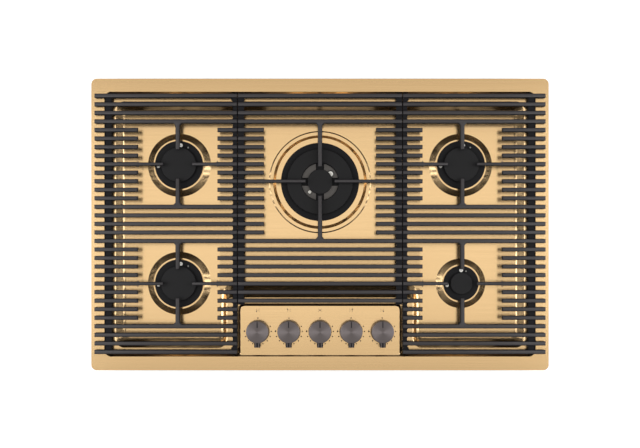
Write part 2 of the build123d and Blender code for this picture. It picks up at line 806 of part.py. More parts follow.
with BuildPart() as screws:
    # Fixing screws through each clamp's leg, and a pressing screw up through its foot.
    for x in (-CLAMP_X, CLAMP_X):
        for y in (PAN_FRONT, PAN_BACK):
            side = outwards(y)
            face = y + side * CLAMP_SHEET
            rod((x, face, CLAMP_SCREW_Z), (x, face + side * SCREW_HEAD, CLAMP_SCREW_Z), SCREW_HEAD_RADIUS)
            rod((x, face, CLAMP_SCREW_Z), (x, face - side * SCREW_GRIP, CLAMP_SCREW_Z), SCREW_RADIUS)
            out = y + side * CLAMP_SCREW_OUT
            post(x, out, SCREW_HEAD_RADIUS, CLAMP_FOOT_Z - SCREW_HEAD, CLAMP_FOOT_Z)
            post(x, out, SCREW_RADIUS, CLAMP_FOOT_Z - SCREW_HEAD, CLAMP_PRESS_Z)
    # Three screws hold each burner cup's flange up against the deck, under the crown.
    flange_z = BOSS_Z - SHEET - CUP_FLANGE
    posts(CUP_SCREWS, SCREW_HEAD_RADIUS, flange_z - SCREW_HEAD, flange_z)
    posts(CUP_SCREWS, SCREW_RADIUS, flange_z - SCREW_HEAD, BOSS_Z + FIT_GAP)
save(screws, "screws")

# --- Grates: cast iron, slatted, one window for each burner with four fingers reaching into it ---


@dataclass
class Window:
    """An open square over a burner, with the finger bar's row and the rows that close it."""

    x: float
    row: int
    half: float
    back_row: int
    front_row: int


def finger(start, end, centre, width, along_x):
    """A finger from its root to its tip, thinner underneath towards the tip."""
    plane = Plane.XZ.offset(-centre) if along_x else Plane.YZ.offset(centre)
    with BuildSketch(plane) as side:
        with BuildLine():
            Polyline(
                (start, BAR_BOTTOM),
                (start, GRATE_Z),
                (end, GRATE_Z),
                (end, GRATE_Z - FINGER_TIP_DEPTH),
                close=True,
            )
        make_face()
    extrude(side.sketch, amount=width / 2, both=True)


def gusset(x, y, side):
    """Adds the small spread where a finger leaves a bar: side is the way that the finger points."""
    half = FINGER_WIDTH / 2
    Polygon(
        (x - half - GUSSET, y),
        (x + half + GUSSET, y),
        (x + half, y + side * GUSSET),
        (x - half, y + side * GUSSET),
        align=None,
    )


def strip(low, high, back, front):
    """Adds a rectangle to a sketch from its x span and its y span."""
    with Locations(((low + high) / 2, (back + front) / 2)):
        Rectangle(high - low, back - front)


def make_grate(name, bars, last_row, windows, rails, pads, front_shift):
    """One grate and its feet, from the x span of its bars, its rails and its four corner pads."""
    half = BAR_WIDTH / 2
    back_y = bar_y(0) + half
    front_y = bar_y(last_row) - half
    feet_y = (bar_y(0) - FOOT_INSET, bar_y(last_row) + front_shift)
    foot_spots = [(sum(pad) / 2, y) for pad in pads for y in feet_y]
    stub_rows = [row for window in windows for row in range(window.back_row + 1, window.front_row)]
    full_rows = [row for row in range(last_row + 1) if row not in stub_rows]
    with BuildPart() as fingers:
        for window in windows:
            y = bar_y(window.row)
            for side in (-1, 1):
                root = window.x + side * (window.half + half)
                finger(root, window.x + side * FINGER_REACH, y, CROSS_FINGER_WIDTH, True)
            finger(bar_y(window.back_row), y + FINGER_REACH, window.x, FINGER_WIDTH, False)
            finger(bar_y(window.front_row), y - FINGER_REACH, window.x, FINGER_WIDTH, False)
    with BuildPart() as frame:
        with BuildSketch(Plane.XY.offset(RAIL_Z - RAIL_DEPTH)):
            for rail in rails:
                strip(*rail, back_y, front_y)
        extrude(amount=RAIL_DEPTH)
        with BuildSketch(Plane.XY.offset(FOOT_TOP)):
            for pad in pads:
                for y in feet_y:
                    strip(*pad, y + FOOT_PAD / 2, y - FOOT_PAD / 2)
        extrude(amount=RAIL_Z - FOOT_TOP)
        # The outer corners are rounded, to sit in the corners of the recess.
        with BuildSketch(Plane.XY.offset(FOOT_TOP)) as room:
            with Locations((0, (bar_y(0) + bar_y(BAR_COUNT - 1)) / 2)):
                RectangleRounded(
                    2 * (RECESS_X - RAIL_WALL_GAP),
                    bar_y(0) - bar_y(BAR_COUNT - 1) + BAR_WIDTH,
                    GRATE_CORNER,
                )
        extrude(room.sketch, amount=RAIL_Z - FOOT_TOP, mode=Mode.INTERSECT)
        peg_top = FOOT_TOP + PEG_HEIGHT + 2 * FIT_GAP
        posts(foot_spots, PEG_RADIUS + FIT_GAP, FOOT_TOP, peg_top, mode=Mode.SUBTRACT)
    with BuildPart() as grate:
        with BuildSketch(Plane.XY.offset(BAR_BOTTOM)):
            for row in full_rows:
                strip(*bars, bar_y(row) + half, bar_y(row) - half)
            for row in stub_rows:
                window = next(window for window in windows if row < window.front_row)
                strip(bars[0], window.x - window.half, bar_y(row) + half, bar_y(row) - half)
                strip(window.x + window.half, bars[1], bar_y(row) + half, bar_y(row) - half)
            for window in windows:
                gusset(window.x, bar_y(window.back_row) - half, -1)
                gusset(window.x, bar_y(window.front_row) + half, 1)
        extrude(amount=BAR_DEPTH)
        add(fingers.part)
        add(frame.part)
    save(grate, f"grate_{name}")
    with BuildPart() as feet:
        posts(foot_spots, FOOT_RADIUS, LEDGE_Z, FOOT_TOP)
        posts(foot_spots, PEG_RADIUS, FOOT_TOP, FOOT_TOP + PEG_HEIGHT)
    save(feet, f"grate_feet_{name}")


def mirrored(span):
    """The same x span on the left of the middle."""
    return -span[1], -span[0]


side_bars = (SEAM_X + SEAM_GAP / 2, RIM_X / 2 - BAR_OVERHANG)
outer_rail = (RECESS_X - RAIL_WALL_GAP - RAIL_WIDTH, RECESS_X - RAIL_WALL_GAP)
inner_rail = (SEAM_X + RAIL_SEAM_INSET, SEAM_X + RAIL_SEAM_INSET + INNER_RAIL_WIDTH)
rail_mid = sum(outer_rail) / 2
outer_pad = (rail_mid - FOOT_PAD / 2, rail_mid + FOOT_PAD / 2)
inner_pad = (inner_rail[0], inner_rail[0] + FOOT_PAD)
side_windows = [
    Window(SIDE_BURNER_X, row, SIDE_WINDOW, back_row, front_row)
    for row, back_row, front_row in zip(SIDE_FINGER_ROWS, SIDE_CROSS_ROWS[::2], SIDE_CROSS_ROWS[1::2])
]
left_windows = [
    Window(-window.x, window.row, window.half, window.back_row, window.front_row)
    for window in side_windows
]
make_grate(
    "left",
    mirrored(side_bars),
    BAR_COUNT - 1,
    left_windows,
    (mirrored(outer_rail), mirrored(inner_rail)),
    (mirrored(outer_pad), mirrored(inner_pad)),
    FOOT_INSET,
)
make_grate(
    "right",
    side_bars,
    BAR_COUNT - 1,
    side_windows,
    (outer_rail, inner_rail),
    (outer_pad, inner_pad),
    FOOT_INSET,
)
centre_half = SEAM_X - SEAM_GAP / 2
centre_rail = (centre_half - CENTRE_RAIL_WIDTH, centre_half)
make_grate(
    "centre",
    (-centre_half, centre_half),
    CENTRE_LAST_ROW,
    [Window(WOK.x, CENTRE_FINGER_ROW, CENTRE_WINDOW, *CENTRE_CROSS_ROWS)],
    (mirrored(centre_rail), centre_rail),
    (mirrored(centre_rail), centre_rail),
    -CENTRE_FOOT_SHIFT,
)

# --- Burners: a cup under the deck, a crown on the cup, and a cap on the crown ---


def cup_body(burner, jets):
    """The cast cup: a wall and floor, a flange, bosses for what stands in it, and gas passages."""
    inner = burner.cup - CUP_WALL
    flange_top = BOSS_Z - SHEET
    turn(
        burner.x,
        burner.y,
        (
            (0, CUP_BOTTOM),
            (burner.cup, CUP_BOTTOM),
            (burner.cup, flange_top - CUP_FLANGE),
            (burner.top - CUP_FLANGE_INSET, flange_top - CUP_FLANGE),
            (burner.top - CUP_FLANGE_INSET, flange_top),
            (burner.cup, flange_top),
            (burner.cup, CROWN_Z),
            (inner, CROWN_Z),
            (inner, CUP_BOTTOM + CUP_WALL),
            (0, CUP_BOTTOM + CUP_WALL),
        ),
    )
    for spot, radius in ((burner.electrode_at, ELECTRODE_BOSS), (burner.probe_at, PROBE_BOSS)):
        x, y = around(burner.x, burner.y, *spot)
        high = CROWN_Z if burner is not WOK else CROWN_Z - WOK_CHANNEL_DROP
        post(x, y, radius, CUP_BOTTOM, high)
    reach = burner.cup + SOCKET_PROUD
    for shift in jets:
        side_x, side_y = around(0, 0, shift, burner.tube_angle + 90)
        x, y = burner.x + side_x, burner.y + side_y
        post(x, y, JET_BOSS, INJECTOR_Z - SOCKET_RADIUS - JET_BOSS_DROP, CUP_BOTTOM + CUP_WALL)
        end_x, end_y = around(x, y, reach, burner.tube_angle)
        rod((x, y, INJECTOR_Z), (end_x, end_y, INJECTOR_Z), SOCKET_RADIUS)
    for shift in jets:
        side_x, side_y = around(0, 0, shift, burner.tube_angle + 90)
        x, y = burner.x + side_x, burner.y + side_y
        end_x, end_y = around(x, y, reach, burner.tube_angle)
        socket_x, socket_y = around(x, y, reach - TUBE_SOCKET, burner.tube_angle)
        rod((x, y, INJECTOR_Z), (end_x, end_y, INJECTOR_Z), TUBE_BORE, Mode.SUBTRACT)
        rod(
            (socket_x, socket_y, INJECTOR_Z),
            (end_x, end_y, INJECTOR_Z),
            TUBE_RADIUS + FIT_GAP,
            Mode.SUBTRACT,
        )
        jet_low = INJECTOR_Z - JET_SEAT
        post(x, y, JET_RADIUS + FIT_GAP, jet_low, CUP_BOTTOM + CUP_WALL, mode=Mode.SUBTRACT)
    holes = ((burner.electrode_at, electrode_radius(burner)), (burner.probe_at, probe_radius(burner)))
    for spot, radius in holes:
        x, y = around(burner.x, burner.y, *spot)
        post(x, y, radius + FIT_GAP, CUP_BOTTOM, CROWN_Z, mode=Mode.SUBTRACT)
    holes = [around(burner.x, burner.y, burner.crown - SCREW_INSET, angle) for angle in SCREW_ANGLES]
    posts(holes, SCREW_RADIUS + FIT_GAP, flange_top - CUP_FLANGE, flange_top, mode=Mode.SUBTRACT)


def electrode_radius(burner):
    """The middle burner's igniter is a fatter one, seen as an open ring beside the inner cap."""
    return WOK_ELECTRODE if burner is WOK else ELECTRODE_RADIUS


def probe_radius(burner):
    """The middle burner's flame probe has a thick sheath up to its tip."""
    return PROBE_COLLAR if burner is WOK else PROBE_RADIUS


def port_slots(burner, radius, count):
    """Radial slots that let the gas out through a crown's wall, cut a little into its top too."""
    inner = radius - PORT_RING_INSET - PORT_RING - FIT_GAP
    outer = radius + PORT_SPILL
    with BuildSketch(Plane.XY.offset(PLATE_Z - PORT_SINK)) as slots:
        with Locations((burner.x, burner.y)):
            with PolarLocations((inner + outer) / 2, count, start_angle=SLOT_START):
                Rectangle(outer - inner, PORT_WIDTH)
    extrude(slots.sketch, amount=PORT_HEIGHT + PORT_SINK, mode=Mode.SUBTRACT)


def port_ring(burner, radius):
    """The low wall that carries the cap and holds the flame ports."""
    outer = radius - PORT_RING_INSET
    pipe_ring(burner.x, burner.y, outer, outer - PORT_RING, PLATE_Z, SEAT_Z)


for burner in (*BURNERS, WOK):
    with BuildPart() as burner_cup:
        jets = (-WOK_TUBE_SHIFT, WOK_TUBE_SHIFT) if burner is WOK else (0.0,)
        cup_body(burner, jets)
        if burner is not WOK:
            x, y = around(burner.x, burner.y, burner.electrode_at[0], burner.electrode_at[1] - PIN_TURN)
            post(x, y, PIN_RADIUS, CROWN_Z, PLATE_Z + PIN_PROUD)
    save(burner_cup, f"burner_cup_{burner.name}")

for burner in BURNERS:
    with BuildPart() as crown:
        throat_bore = THROAT_RADIUS - THROAT_WALL
        turn(
            burner.x,
            burner.y,
            (
                (throat_bore, CROWN_Z - THROAT_LENGTH),
                (THROAT_RADIUS, CROWN_Z - THROAT_LENGTH),
                (THROAT_RADIUS, CROWN_Z),
                (burner.crown - CROWN_BEVEL, CROWN_Z),
                (burner.crown, CROWN_Z + CROWN_BEVEL),
                (burner.crown, PLATE_Z - CROWN_BEVEL),
                (burner.crown - CROWN_BEVEL, PLATE_Z),
                (throat_bore, PLATE_Z),
            ),
        )
        port_ring(burner, burner.cap)
        port_slots(burner, burner.cap, burner.ports)
        x, y = around(burner.x, burner.y, *burner.electrode_at)
        post(x, y, ELECTRODE_RADIUS + LIFT_GAP, CROWN_Z, SEAT_Z, mode=Mode.SUBTRACT)
        x, y = around(burner.x, burner.y, *burner.probe_at)
        post(x, y, PROBE_COLLAR + LIFT_GAP, CROWN_Z, SEAT_Z, mode=Mode.SUBTRACT)
        x, y = around(burner.x, burner.y, burner.electrode_at[0], burner.electrode_at[1] - PIN_TURN)
        post(x, y, PIN_RADIUS + BODY_GAP, CROWN_Z, SEAT_Z, mode=Mode.SUBTRACT)
    save(crown, f"crown_{burner.name}")

with BuildPart() as wok_crown:
    throat_outer = WOK_THROAT
    throat_bore = WOK_THROAT - THROAT_WALL
    skirt = WOK.cup - CUP_WALL - BODY_GAP
    turn(
        WOK.x,
        WOK.y,
        (
            (throat_bore, CROWN_Z - THROAT_LENGTH),
            (throat_outer, CROWN_Z - THROAT_LENGTH),
            (throat_outer, CROWN_Z),
            (skirt - CUP_WALL, CROWN_Z),
            (skirt - CUP_WALL, CROWN_Z - WOK_SKIRT),
            (skirt, CROWN_Z - WOK_SKIRT),
            (skirt, CROWN_Z),
            (WOK.crown - CROWN_BEVEL, CROWN_Z),
            (WOK.crown, CROWN_Z + CROWN_BEVEL),
            (WOK.crown, PLATE_Z - CROWN_BEVEL),
            (WOK.crown - CROWN_BEVEL, PLATE_Z),
            (throat_bore, PLATE_Z),
        ),
    )
    pipe_ring(WOK.x, WOK.y, WOK_PLATE_OUT, WOK.cap, PLATE_Z, PLATE_Z + WOK_PLATE_RISE)
    # A cross-shaped channel feeds air to the inner flame and parts the ring into four plates.
    channel_z = PLATE_Z - WOK_CHANNEL_CUT
    with BuildSketch(Plane.XY.offset(channel_z)):
        with Locations((WOK.x, WOK.y)):
            Circle(WOK_PLATE_OUT)
            Circle(WOK.cap - PORT_RING_INSET, mode=Mode.SUBTRACT)
            Rectangle(2 * WOK.crown, WOK_CROSS, mode=Mode.INTERSECT)
    extrude(amount=SEAT_Z - channel_z, mode=Mode.SUBTRACT)
    with BuildSketch(Plane.XY.offset(channel_z)):
        with Locations((WOK.x, WOK.y)):
            Circle(WOK_PLATE_OUT)
            Circle(WOK.cap - PORT_RING_INSET, mode=Mode.SUBTRACT)
            Rectangle(WOK_CROSS, 2 * WOK.crown, mode=Mode.INTERSECT)
    extrude(amount=SEAT_Z - channel_z, mode=Mode.SUBTRACT)
    port_ring(WOK, WOK_RING_OUT)
    port_slots(WOK, WOK_RING_OUT, WOK_RING_PORTS)
    pipe_ring(WOK.x, WOK.y, WOK_RING_WALL + PORT_RING, WOK_RING_WALL, PLATE_Z, SEAT_Z)
    port_ring(WOK, WOK.cap)
    port_slots(WOK, WOK.cap - PORT_SPILL, WOK.ports)
    x, y = around(WOK.x, WOK.y, *WOK.electrode_at)
    post(x, y, WOK_ELECTRODE_HOLE, CROWN_Z - WOK_SKIRT, SEAT_Z, mode=Mode.SUBTRACT)
    x, y = around(WOK.x, WOK.y, *WOK.probe_at)
    post(x, y, WOK_PROBE_HOLE, CROWN_Z - WOK_SKIRT, SEAT_Z, mode=Mode.SUBTRACT)
save(wok_crown, "crown_wok")

for burner in (*BURNERS, WOK):
    with BuildPart() as cap:
        skirt_out = burner.cap - PORT_RING_INSET - PORT_RING - BODY_GAP
        skirt_in = skirt_out - CAP_SKIRT_WALL
        turn(
            burner.x,
            burner.y,
            (
                (0, SEAT_Z),
                (skirt_in, SEAT_Z),
                (skirt_in, SEAT_Z - CAP_SKIRT),
                (skirt_out, SEAT_Z - CAP_SKIRT),
                (skirt_out, SEAT_Z),
                (burner.cap, SEAT_Z),
                (burner.cap, SEAT_Z + CAP_THICKNESS),
                (0, SEAT_Z + CAP_THICKNESS),
            ),
        )
        fillet(flat_at(cap.part, SEAT_Z + CAP_THICKNESS).outer_wire().edges(), CAP_EDGE_RADIUS)
    save(cap, f"cap_{burner.name}")

with BuildPart() as wok_ring_cap:
    outer_skirt = WOK_RING_OUT - PORT_RING_INSET - PORT_RING - BODY_GAP
    inner_skirt = WOK_RING_WALL + PORT_RING + BODY_GAP
    turn(
        WOK.x,
        WOK.y,
        (
            (WOK_RING_IN, SEAT_Z),
            (inner_skirt, SEAT_Z),
            (inner_skirt, SEAT_Z - CAP_SKIRT),
            (inner_skirt + CAP_SKIRT_WALL, SEAT_Z - CAP_SKIRT),
            (inner_skirt + CAP_SKIRT_WALL, SEAT_Z),
            (outer_skirt - CAP_SKIRT_WALL, SEAT_Z),
            (outer_skirt - CAP_SKIRT_WALL, SEAT_Z - CAP_SKIRT),
            (outer_skirt, SEAT_Z - CAP_SKIRT),
            (outer_skirt, SEAT_Z),
            (WOK_RING_OUT, SEAT_Z),
            (WOK_RING_OUT, SEAT_Z + CAP_THICKNESS),
            (WOK_RING_IN, SEAT_Z + CAP_THICKNESS),
        ),
    )
    fillet(flat_at(wok_ring_cap.part, SEAT_Z + CAP_THICKNESS).edges(), CAP_EDGE_RADIUS)
save(wok_ring_cap, "cap_wok_ring")

# --- What stands beside the flames: spark electrodes and flame probes ---

with BuildPart() as electrode_ceramics:
    for burner in (*BURNERS, WOK):
        x, y = around(burner.x, burner.y, *burner.electrode_at)
        top = WOK_ELECTRODE_TOP if burner is WOK else PLATE_Z + ELECTRODE_PROUD
        bore = WOK_ELECTRODE_BORE if burner is WOK else ELECTRODE_TIP + FIT_GAP
        pipe_ring(x, y, electrode_radius(burner), bore, ELECTRODE_BOTTOM, top)
save(electrode_ceramics, "electrode_ceramics")

with BuildPart() as electrode_pins:
    for burner in (*BURNERS, WOK):
        x, y = around(burner.x, burner.y, *burner.electrode_at)
        top = WOK_ELECTRODE_TOP if burner is WOK else PLATE_Z + ELECTRODE_PROUD
        bore = WOK_ELECTRODE_BORE if burner is WOK else ELECTRODE_TIP + FIT_GAP
        post(x, y, bore - FIT_GAP, ELECTRODE_BOTTOM - PIN_TAIL, top - PIN_TAIL)
        post(x, y, ELECTRODE_TIP, top - PIN_TAIL, top + ELECTRODE_PROUD / 2)
save(electrode_pins, "electrode_pins")

with BuildPart() as flame_probes:
    for burner in (*BURNERS, WOK):
        x, y = around(burner.x, burner.y, *burner.probe_at)
        post(x, y, probe_radius(burner), ELECTRODE_BOTTOM, PLATE_Z + PROBE_PROUD)
        if burner is not WOK:
            post(x, y, PROBE_COLLAR, PLATE_Z - COLLAR_THICKNESS, PLATE_Z)
save(flame_probes, "flame_probes")

with BuildPart() as gas_jets:
    for burner in (*BURNERS, WOK):
        shifts = (-WOK_TUBE_SHIFT, WOK_TUBE_SHIFT) if burner is WOK else (0.0,)
        for shift in shifts:
            side_x, side_y = around(0, 0, shift, burner.tube_angle + 90)
            jet_low = INJECTOR_Z + TUBE_BORE
            x, y = burner.x + side_x, burner.y + side_y
            pipe_ring(x, y, JET_RADIUS, JET_BORE, jet_low, jet_low + JET_HEIGHT)
save(gas_jets, "gas_jets")

# --- Knobs, on spindles that push down against a spring and turn the tap's plug ---


def shaft_section(radius, flat):
    """Adds the D-shaped section of a spindle, or of its hole, to a sketch."""
    Circle(radius)
    Polygon(
        (-radius, flat),
        (radius, flat),
        (radius, radius + flat),
        (-radius, radius + flat),
        align=None,
        mode=Mode.SUBTRACT,
    )


for name, x in KNOBS:
    with BuildPart() as knob:
        turn(
            x,
            KNOB_Y,
            (
                (0, KNOB_BOTTOM + HUB_LIFT),
                (HUB_RADIUS, KNOB_BOTTOM + HUB_LIFT),
                (HUB_RADIUS, KNOB_Z - KNOB_ROOF),
                (KNOB_RADIUS - KNOB_WALL, KNOB_Z - KNOB_ROOF),
                (KNOB_RADIUS - KNOB_WALL, KNOB_BOTTOM),
                (KNOB_RADIUS, KNOB_BOTTOM),
                (KNOB_TOP_RADIUS, KNOB_Z),
                (0, KNOB_Z),
            ),
        )
        fillet(flat_at(knob.part, KNOB_Z).outer_wire().edges(), KNOB_EDGE_RADIUS)
        # A short ribbed tail at the front gives the fingers a grip and shows where the knob points.
        with BuildSketch(Plane.XY.offset(KNOB_BOTTOM)):
            with Locations((x, KNOB_Y)):
                Polygon(
                    (-NIB_ROOT_WIDTH / 2, -NIB_START),
                    (-NIB_TIP_WIDTH / 2, -NIB_REACH),
                    (NIB_TIP_WIDTH / 2, -NIB_REACH),
                    (NIB_ROOT_WIDTH / 2, -NIB_START),
                    align=None,
                )
        extrude(amount=KNOB_HEIGHT - NIB_DROP)
        nib_top = KNOB_Z - NIB_DROP
        with BuildSketch(Plane.XY.offset(nib_top - NIB_GROOVE)):
            with Locations((x, KNOB_Y - KNOB_RADIUS - NIB_GROOVE)):
                with GridLocations(NIB_TIP_WIDTH / NIB_GROOVES, 1, NIB_GROOVES, 1):
                    Rectangle(NIB_GROOVE, 2 * (NIB_REACH - KNOB_RADIUS), align=(Align.CENTER, Align.MAX))
        extrude(amount=NIB_GROOVE, mode=Mode.SUBTRACT)
        with BuildSketch(Plane.XY.offset(KNOB_Z - POINTER_DEPTH)):
            with Locations((x, KNOB_Y + KNOB_TOP_RADIUS - POINTER_MARGIN - POINTER_LENGTH / 2)):
                SlotOverall(POINTER_LENGTH, POINTER_WIDTH, rotation=90)
        extrude(amount=POINTER_DEPTH, mode=Mode.SUBTRACT)
        hub_low = KNOB_BOTTOM + HUB_LIFT
        with BuildSketch(Plane.XY.offset(hub_low)):
            with Locations((x, KNOB_Y)):
                shaft_section(SPINDLE_RADIUS + RUN_GAP, SPINDLE_FLAT + RUN_GAP)
        extrude(amount=SPINDLE_TOP + FIT_GAP - hub_low, mode=Mode.SUBTRACT)
    save(knob, f"knob_{name}")

    with BuildPart() as spindle:
        flat_low = SPINDLE_TOP - FLAT_LENGTH - HUB_LIFT
        post(x, KNOB_Y, SPINDLE_RADIUS, BLADE_TOP, flat_low)
        with BuildSketch(Plane.XY.offset(flat_low)):
            with Locations((x, KNOB_Y)):
                shaft_section(SPINDLE_RADIUS, SPINDLE_FLAT)
        extrude(amount=SPINDLE_TOP - flat_low)
        post(x, KNOB_Y, COLLAR_RADIUS, TAP_TOP - COLLAR_DROP - COLLAR_THICKNESS, TAP_TOP - COLLAR_DROP)
        blade_low = PLUG_TOP - BLADE_REACH
        block(
            (x - SPINDLE_RADIUS, KNOB_Y - BLADE_THICKNESS / 2, blade_low),
            (x + SPINDLE_RADIUS, KNOB_Y + BLADE_THICKNESS / 2, BLADE_TOP),
        )
    save(spindle, f"spindle_{name}")

    with BuildPart() as tap_plug:
        post(x, KNOB_Y, PLUG_RADIUS, PLUG_BOTTOM + FIT_GAP, PLUG_TOP)
        slot_low = PLUG_TOP - SLOT_DEPTH
        block(
            (x - SPINDLE_RADIUS - BODY_GAP, KNOB_Y - BLADE_THICKNESS / 2 - BODY_GAP, slot_low),
            (x + SPINDLE_RADIUS + BODY_GAP, KNOB_Y + BLADE_THICKNESS / 2 + BODY_GAP, PLUG_TOP),
            mode=Mode.SUBTRACT,
        )
        # The gas way crosses the plug and lines up with the body's ports after a quarter turn.
        rod(
            (x - PLUG_RADIUS, KNOB_Y, MANIFOLD_Z),
            (x + PLUG_RADIUS, KNOB_Y, MANIFOLD_Z),
            PLUG_WAY,
            Mode.SUBTRACT,
        )
    save(tap_plug, f"tap_plug_{name}")

with BuildPart() as spindle_bushes:
    for name, x in KNOBS:
        bore = SPINDLE_RADIUS + BODY_GAP
        turn(
            x,
            KNOB_Y,
            (
                (bore, PANEL_Z - BUSH_DEPTH),
                (BUSH_RADIUS, PANEL_Z - BUSH_DEPTH),
                (BUSH_RADIUS, PANEL_Z),
                (BUSH_FLANGE, PANEL_Z),
                (BUSH_FLANGE, PANEL_Z + BUSH_TOP),
                (bore, PANEL_Z + BUSH_TOP),
            ),
        )
save(spindle_bushes, "spindle_bushes")

# --- Taps ---


def outlets(name):
    """The middle tap feeds two tubes, one for each ring of its burner."""
    return (-WOK_OUTLET, WOK_OUTLET) if name == "wok" else (0.0,)


with BuildPart() as tap_bodies:
    half = TAP_SIZE / 2
    for name, x in KNOBS:
        block((x - half, KNOB_Y - half, TAP_BOTTOM), (x + half, KNOB_Y + half, TAP_TOP))
        post(x, KNOB_Y, PLUG_RADIUS + RUN_GAP, PLUG_BOTTOM, PLUG_TOP, mode=Mode.SUBTRACT)
        post(x, KNOB_Y, CHAMBER_RADIUS, PLUG_TOP, TAP_TOP, mode=Mode.SUBTRACT)
        nipple_end = MANIFOLD_Y - MANIFOLD_RADIUS + MANIFOLD_WALL
        rod((x, KNOB_Y + half, MANIFOLD_Z), (x, nipple_end, MANIFOLD_Z), NIPPLE_RADIUS)
        rod((x, KNOB_Y + PLUG_RADIUS, MANIFOLD_Z), (x, nipple_end, MANIFOLD_Z), PLUG_WAY, Mode.SUBTRACT)
        for shift in outlets(name):
            rod(
                (x + shift, KNOB_Y + half - OUTLET_DEPTH, TUBE_TOP_Z),
                (x + shift, KNOB_Y + half, TUBE_TOP_Z),
                TUBE_RADIUS + FIT_GAP,
                Mode.SUBTRACT,
            )
save(tap_bodies, "tap_bodies")

with BuildPart() as tap_covers:
    for name, x in KNOBS:
        with BuildSketch(Plane.XY.offset(TAP_TOP)):
            with Locations((x, KNOB_Y)):
                RectangleRounded(TAP_SIZE, TAP_SIZE, COVER_CORNER)
                Circle(SPINDLE_RADIUS + BODY_GAP, mode=Mode.SUBTRACT)
        extrude(amount=COVER_THICKNESS)
save(tap_covers, "tap_covers")

with BuildPart() as tap_springs:
    spring_low = PLUG_TOP + SPRING_WIRE + BODY_GAP
    spring_high = TAP_TOP - COLLAR_DROP - COLLAR_THICKNESS - SPRING_WIRE - BODY_GAP
    for name, x in KNOBS:
        with BuildLine() as coil:
            Helix(SPRING_PITCH, spring_high - spring_low, SPRING_RADIUS, center=(x, KNOB_Y, spring_low))
        wire = coil.line
        with BuildSketch(Plane(origin=wire @ 0, z_dir=wire % 0)) as wire_section:
            Circle(SPRING_WIRE)
        sweep(wire_section.sketch, path=wire, is_frenet=True)
save(tap_springs, "tap_springs")

with BuildPart() as safety_magnets:
    for name, x in KNOBS:
        face = KNOB_Y - TAP_SIZE / 2
        rod((x, face, MAGNET_Z), (x, face - MAGNET_NECK, MAGNET_Z), MAGNET_NECK_RADIUS)
        rod((x, face - MAGNET_NECK, MAGNET_Z), (x, face - MAGNET_LENGTH, MAGNET_Z), MAGNET_RADIUS)
save(safety_magnets, "safety_magnets")

with BuildPart() as ignition_switches:
    low = TAP_TOP + COVER_THICKNESS
    for name, x in KNOBS:
        block(
            (x - SWITCH_X / 2, KNOB_Y - SWITCH_Y / 2, low),
            (x + SWITCH_X / 2, KNOB_Y + SWITCH_Y / 2, low + SWITCH_Z),
        )
        post(x, KNOB_Y, SPINDLE_RADIUS + 2 * BODY_GAP, low, low + SWITCH_Z, mode=Mode.SUBTRACT)
save(ignition_switches, "ignition_switches")

# --- Gas line: inlet elbow, manifold pipe with the taps on it, and a tube to each burner ---


def corners_only(points):
    """A route without the points that lie straight between their neighbours."""
    kept = [points[0]]
    for here, after in zip(points[1:-1], points[2:]):
        run = Vector(*here) - Vector(*kept[-1])
        if run.get_angle(Vector(*after) - Vector(*here)) > STRAIGHT_ANGLE:
            kept.append(here)
    return [*kept, points[-1]]


def tube(points, radius, bore, bend):
    """A hollow tube along straight runs joined by bends."""
    with BuildLine() as path:
        FilletPolyline(*corners_only(points), radius=bend)
    with BuildSketch(Plane(origin=path.line @ 0, z_dir=path.line % 0)) as ring:
        Circle(radius)
        Circle(bore, mode=Mode.SUBTRACT)
    sweep(ring.sketch, path=path.line)


with BuildPart() as gas_manifold:
    tube(
        (
            (-MANIFOLD_END, MANIFOLD_Y, MANIFOLD_Z),
            (SUPPLY_X, MANIFOLD_Y, MANIFOLD_Z),
            (SUPPLY_X, SUPPLY_Y, MANIFOLD_Z),
            (INLET_X, INLET_Y - SUPPLY_RISE_RUN, ELBOW_Z),
            (INLET_X, INLET_Y - ELBOW_SOCKET_END, ELBOW_Z),
        ),
        MANIFOLD_RADIUS,
        MANIFOLD_RADIUS - MANIFOLD_WALL,
        SUPPLY_BEND,
    )
    rod(
        (-MANIFOLD_END, MANIFOLD_Y, MANIFOLD_Z),
        (-MANIFOLD_END - MANIFOLD_CAP, MANIFOLD_Y, MANIFOLD_Z),
        MANIFOLD_RADIUS,
    )
    for name, x in KNOBS:
        rod(
            (x, MANIFOLD_Y - MANIFOLD_RADIUS - CUT_CLEAR, MANIFOLD_Z),
            (x, MANIFOLD_Y, MANIFOLD_Z),
            NIPPLE_RADIUS + BODY_GAP,
            Mode.SUBTRACT,
        )
save(gas_manifold, "gas_manifold")

with BuildPart() as manifold_brackets:
    for x in (-BRACKET_X, BRACKET_X):
        block(
            (x - BRACKET_WIDTH / 2, MANIFOLD_Y - BRACKET_REACH, PAN_SHEET),
            (x + BRACKET_WIDTH / 2, MANIFOLD_Y + BRACKET_REACH, MANIFOLD_Z),
        )
        rod(
            (x - BRACKET_WIDTH / 2, MANIFOLD_Y, MANIFOLD_Z),
            (x + BRACKET_WIDTH / 2, MANIFOLD_Y, MANIFOLD_Z),
            MANIFOLD_RADIUS + FIT_GAP,
            Mode.SUBTRACT,
        )
save(manifold_brackets, "manifold_brackets")

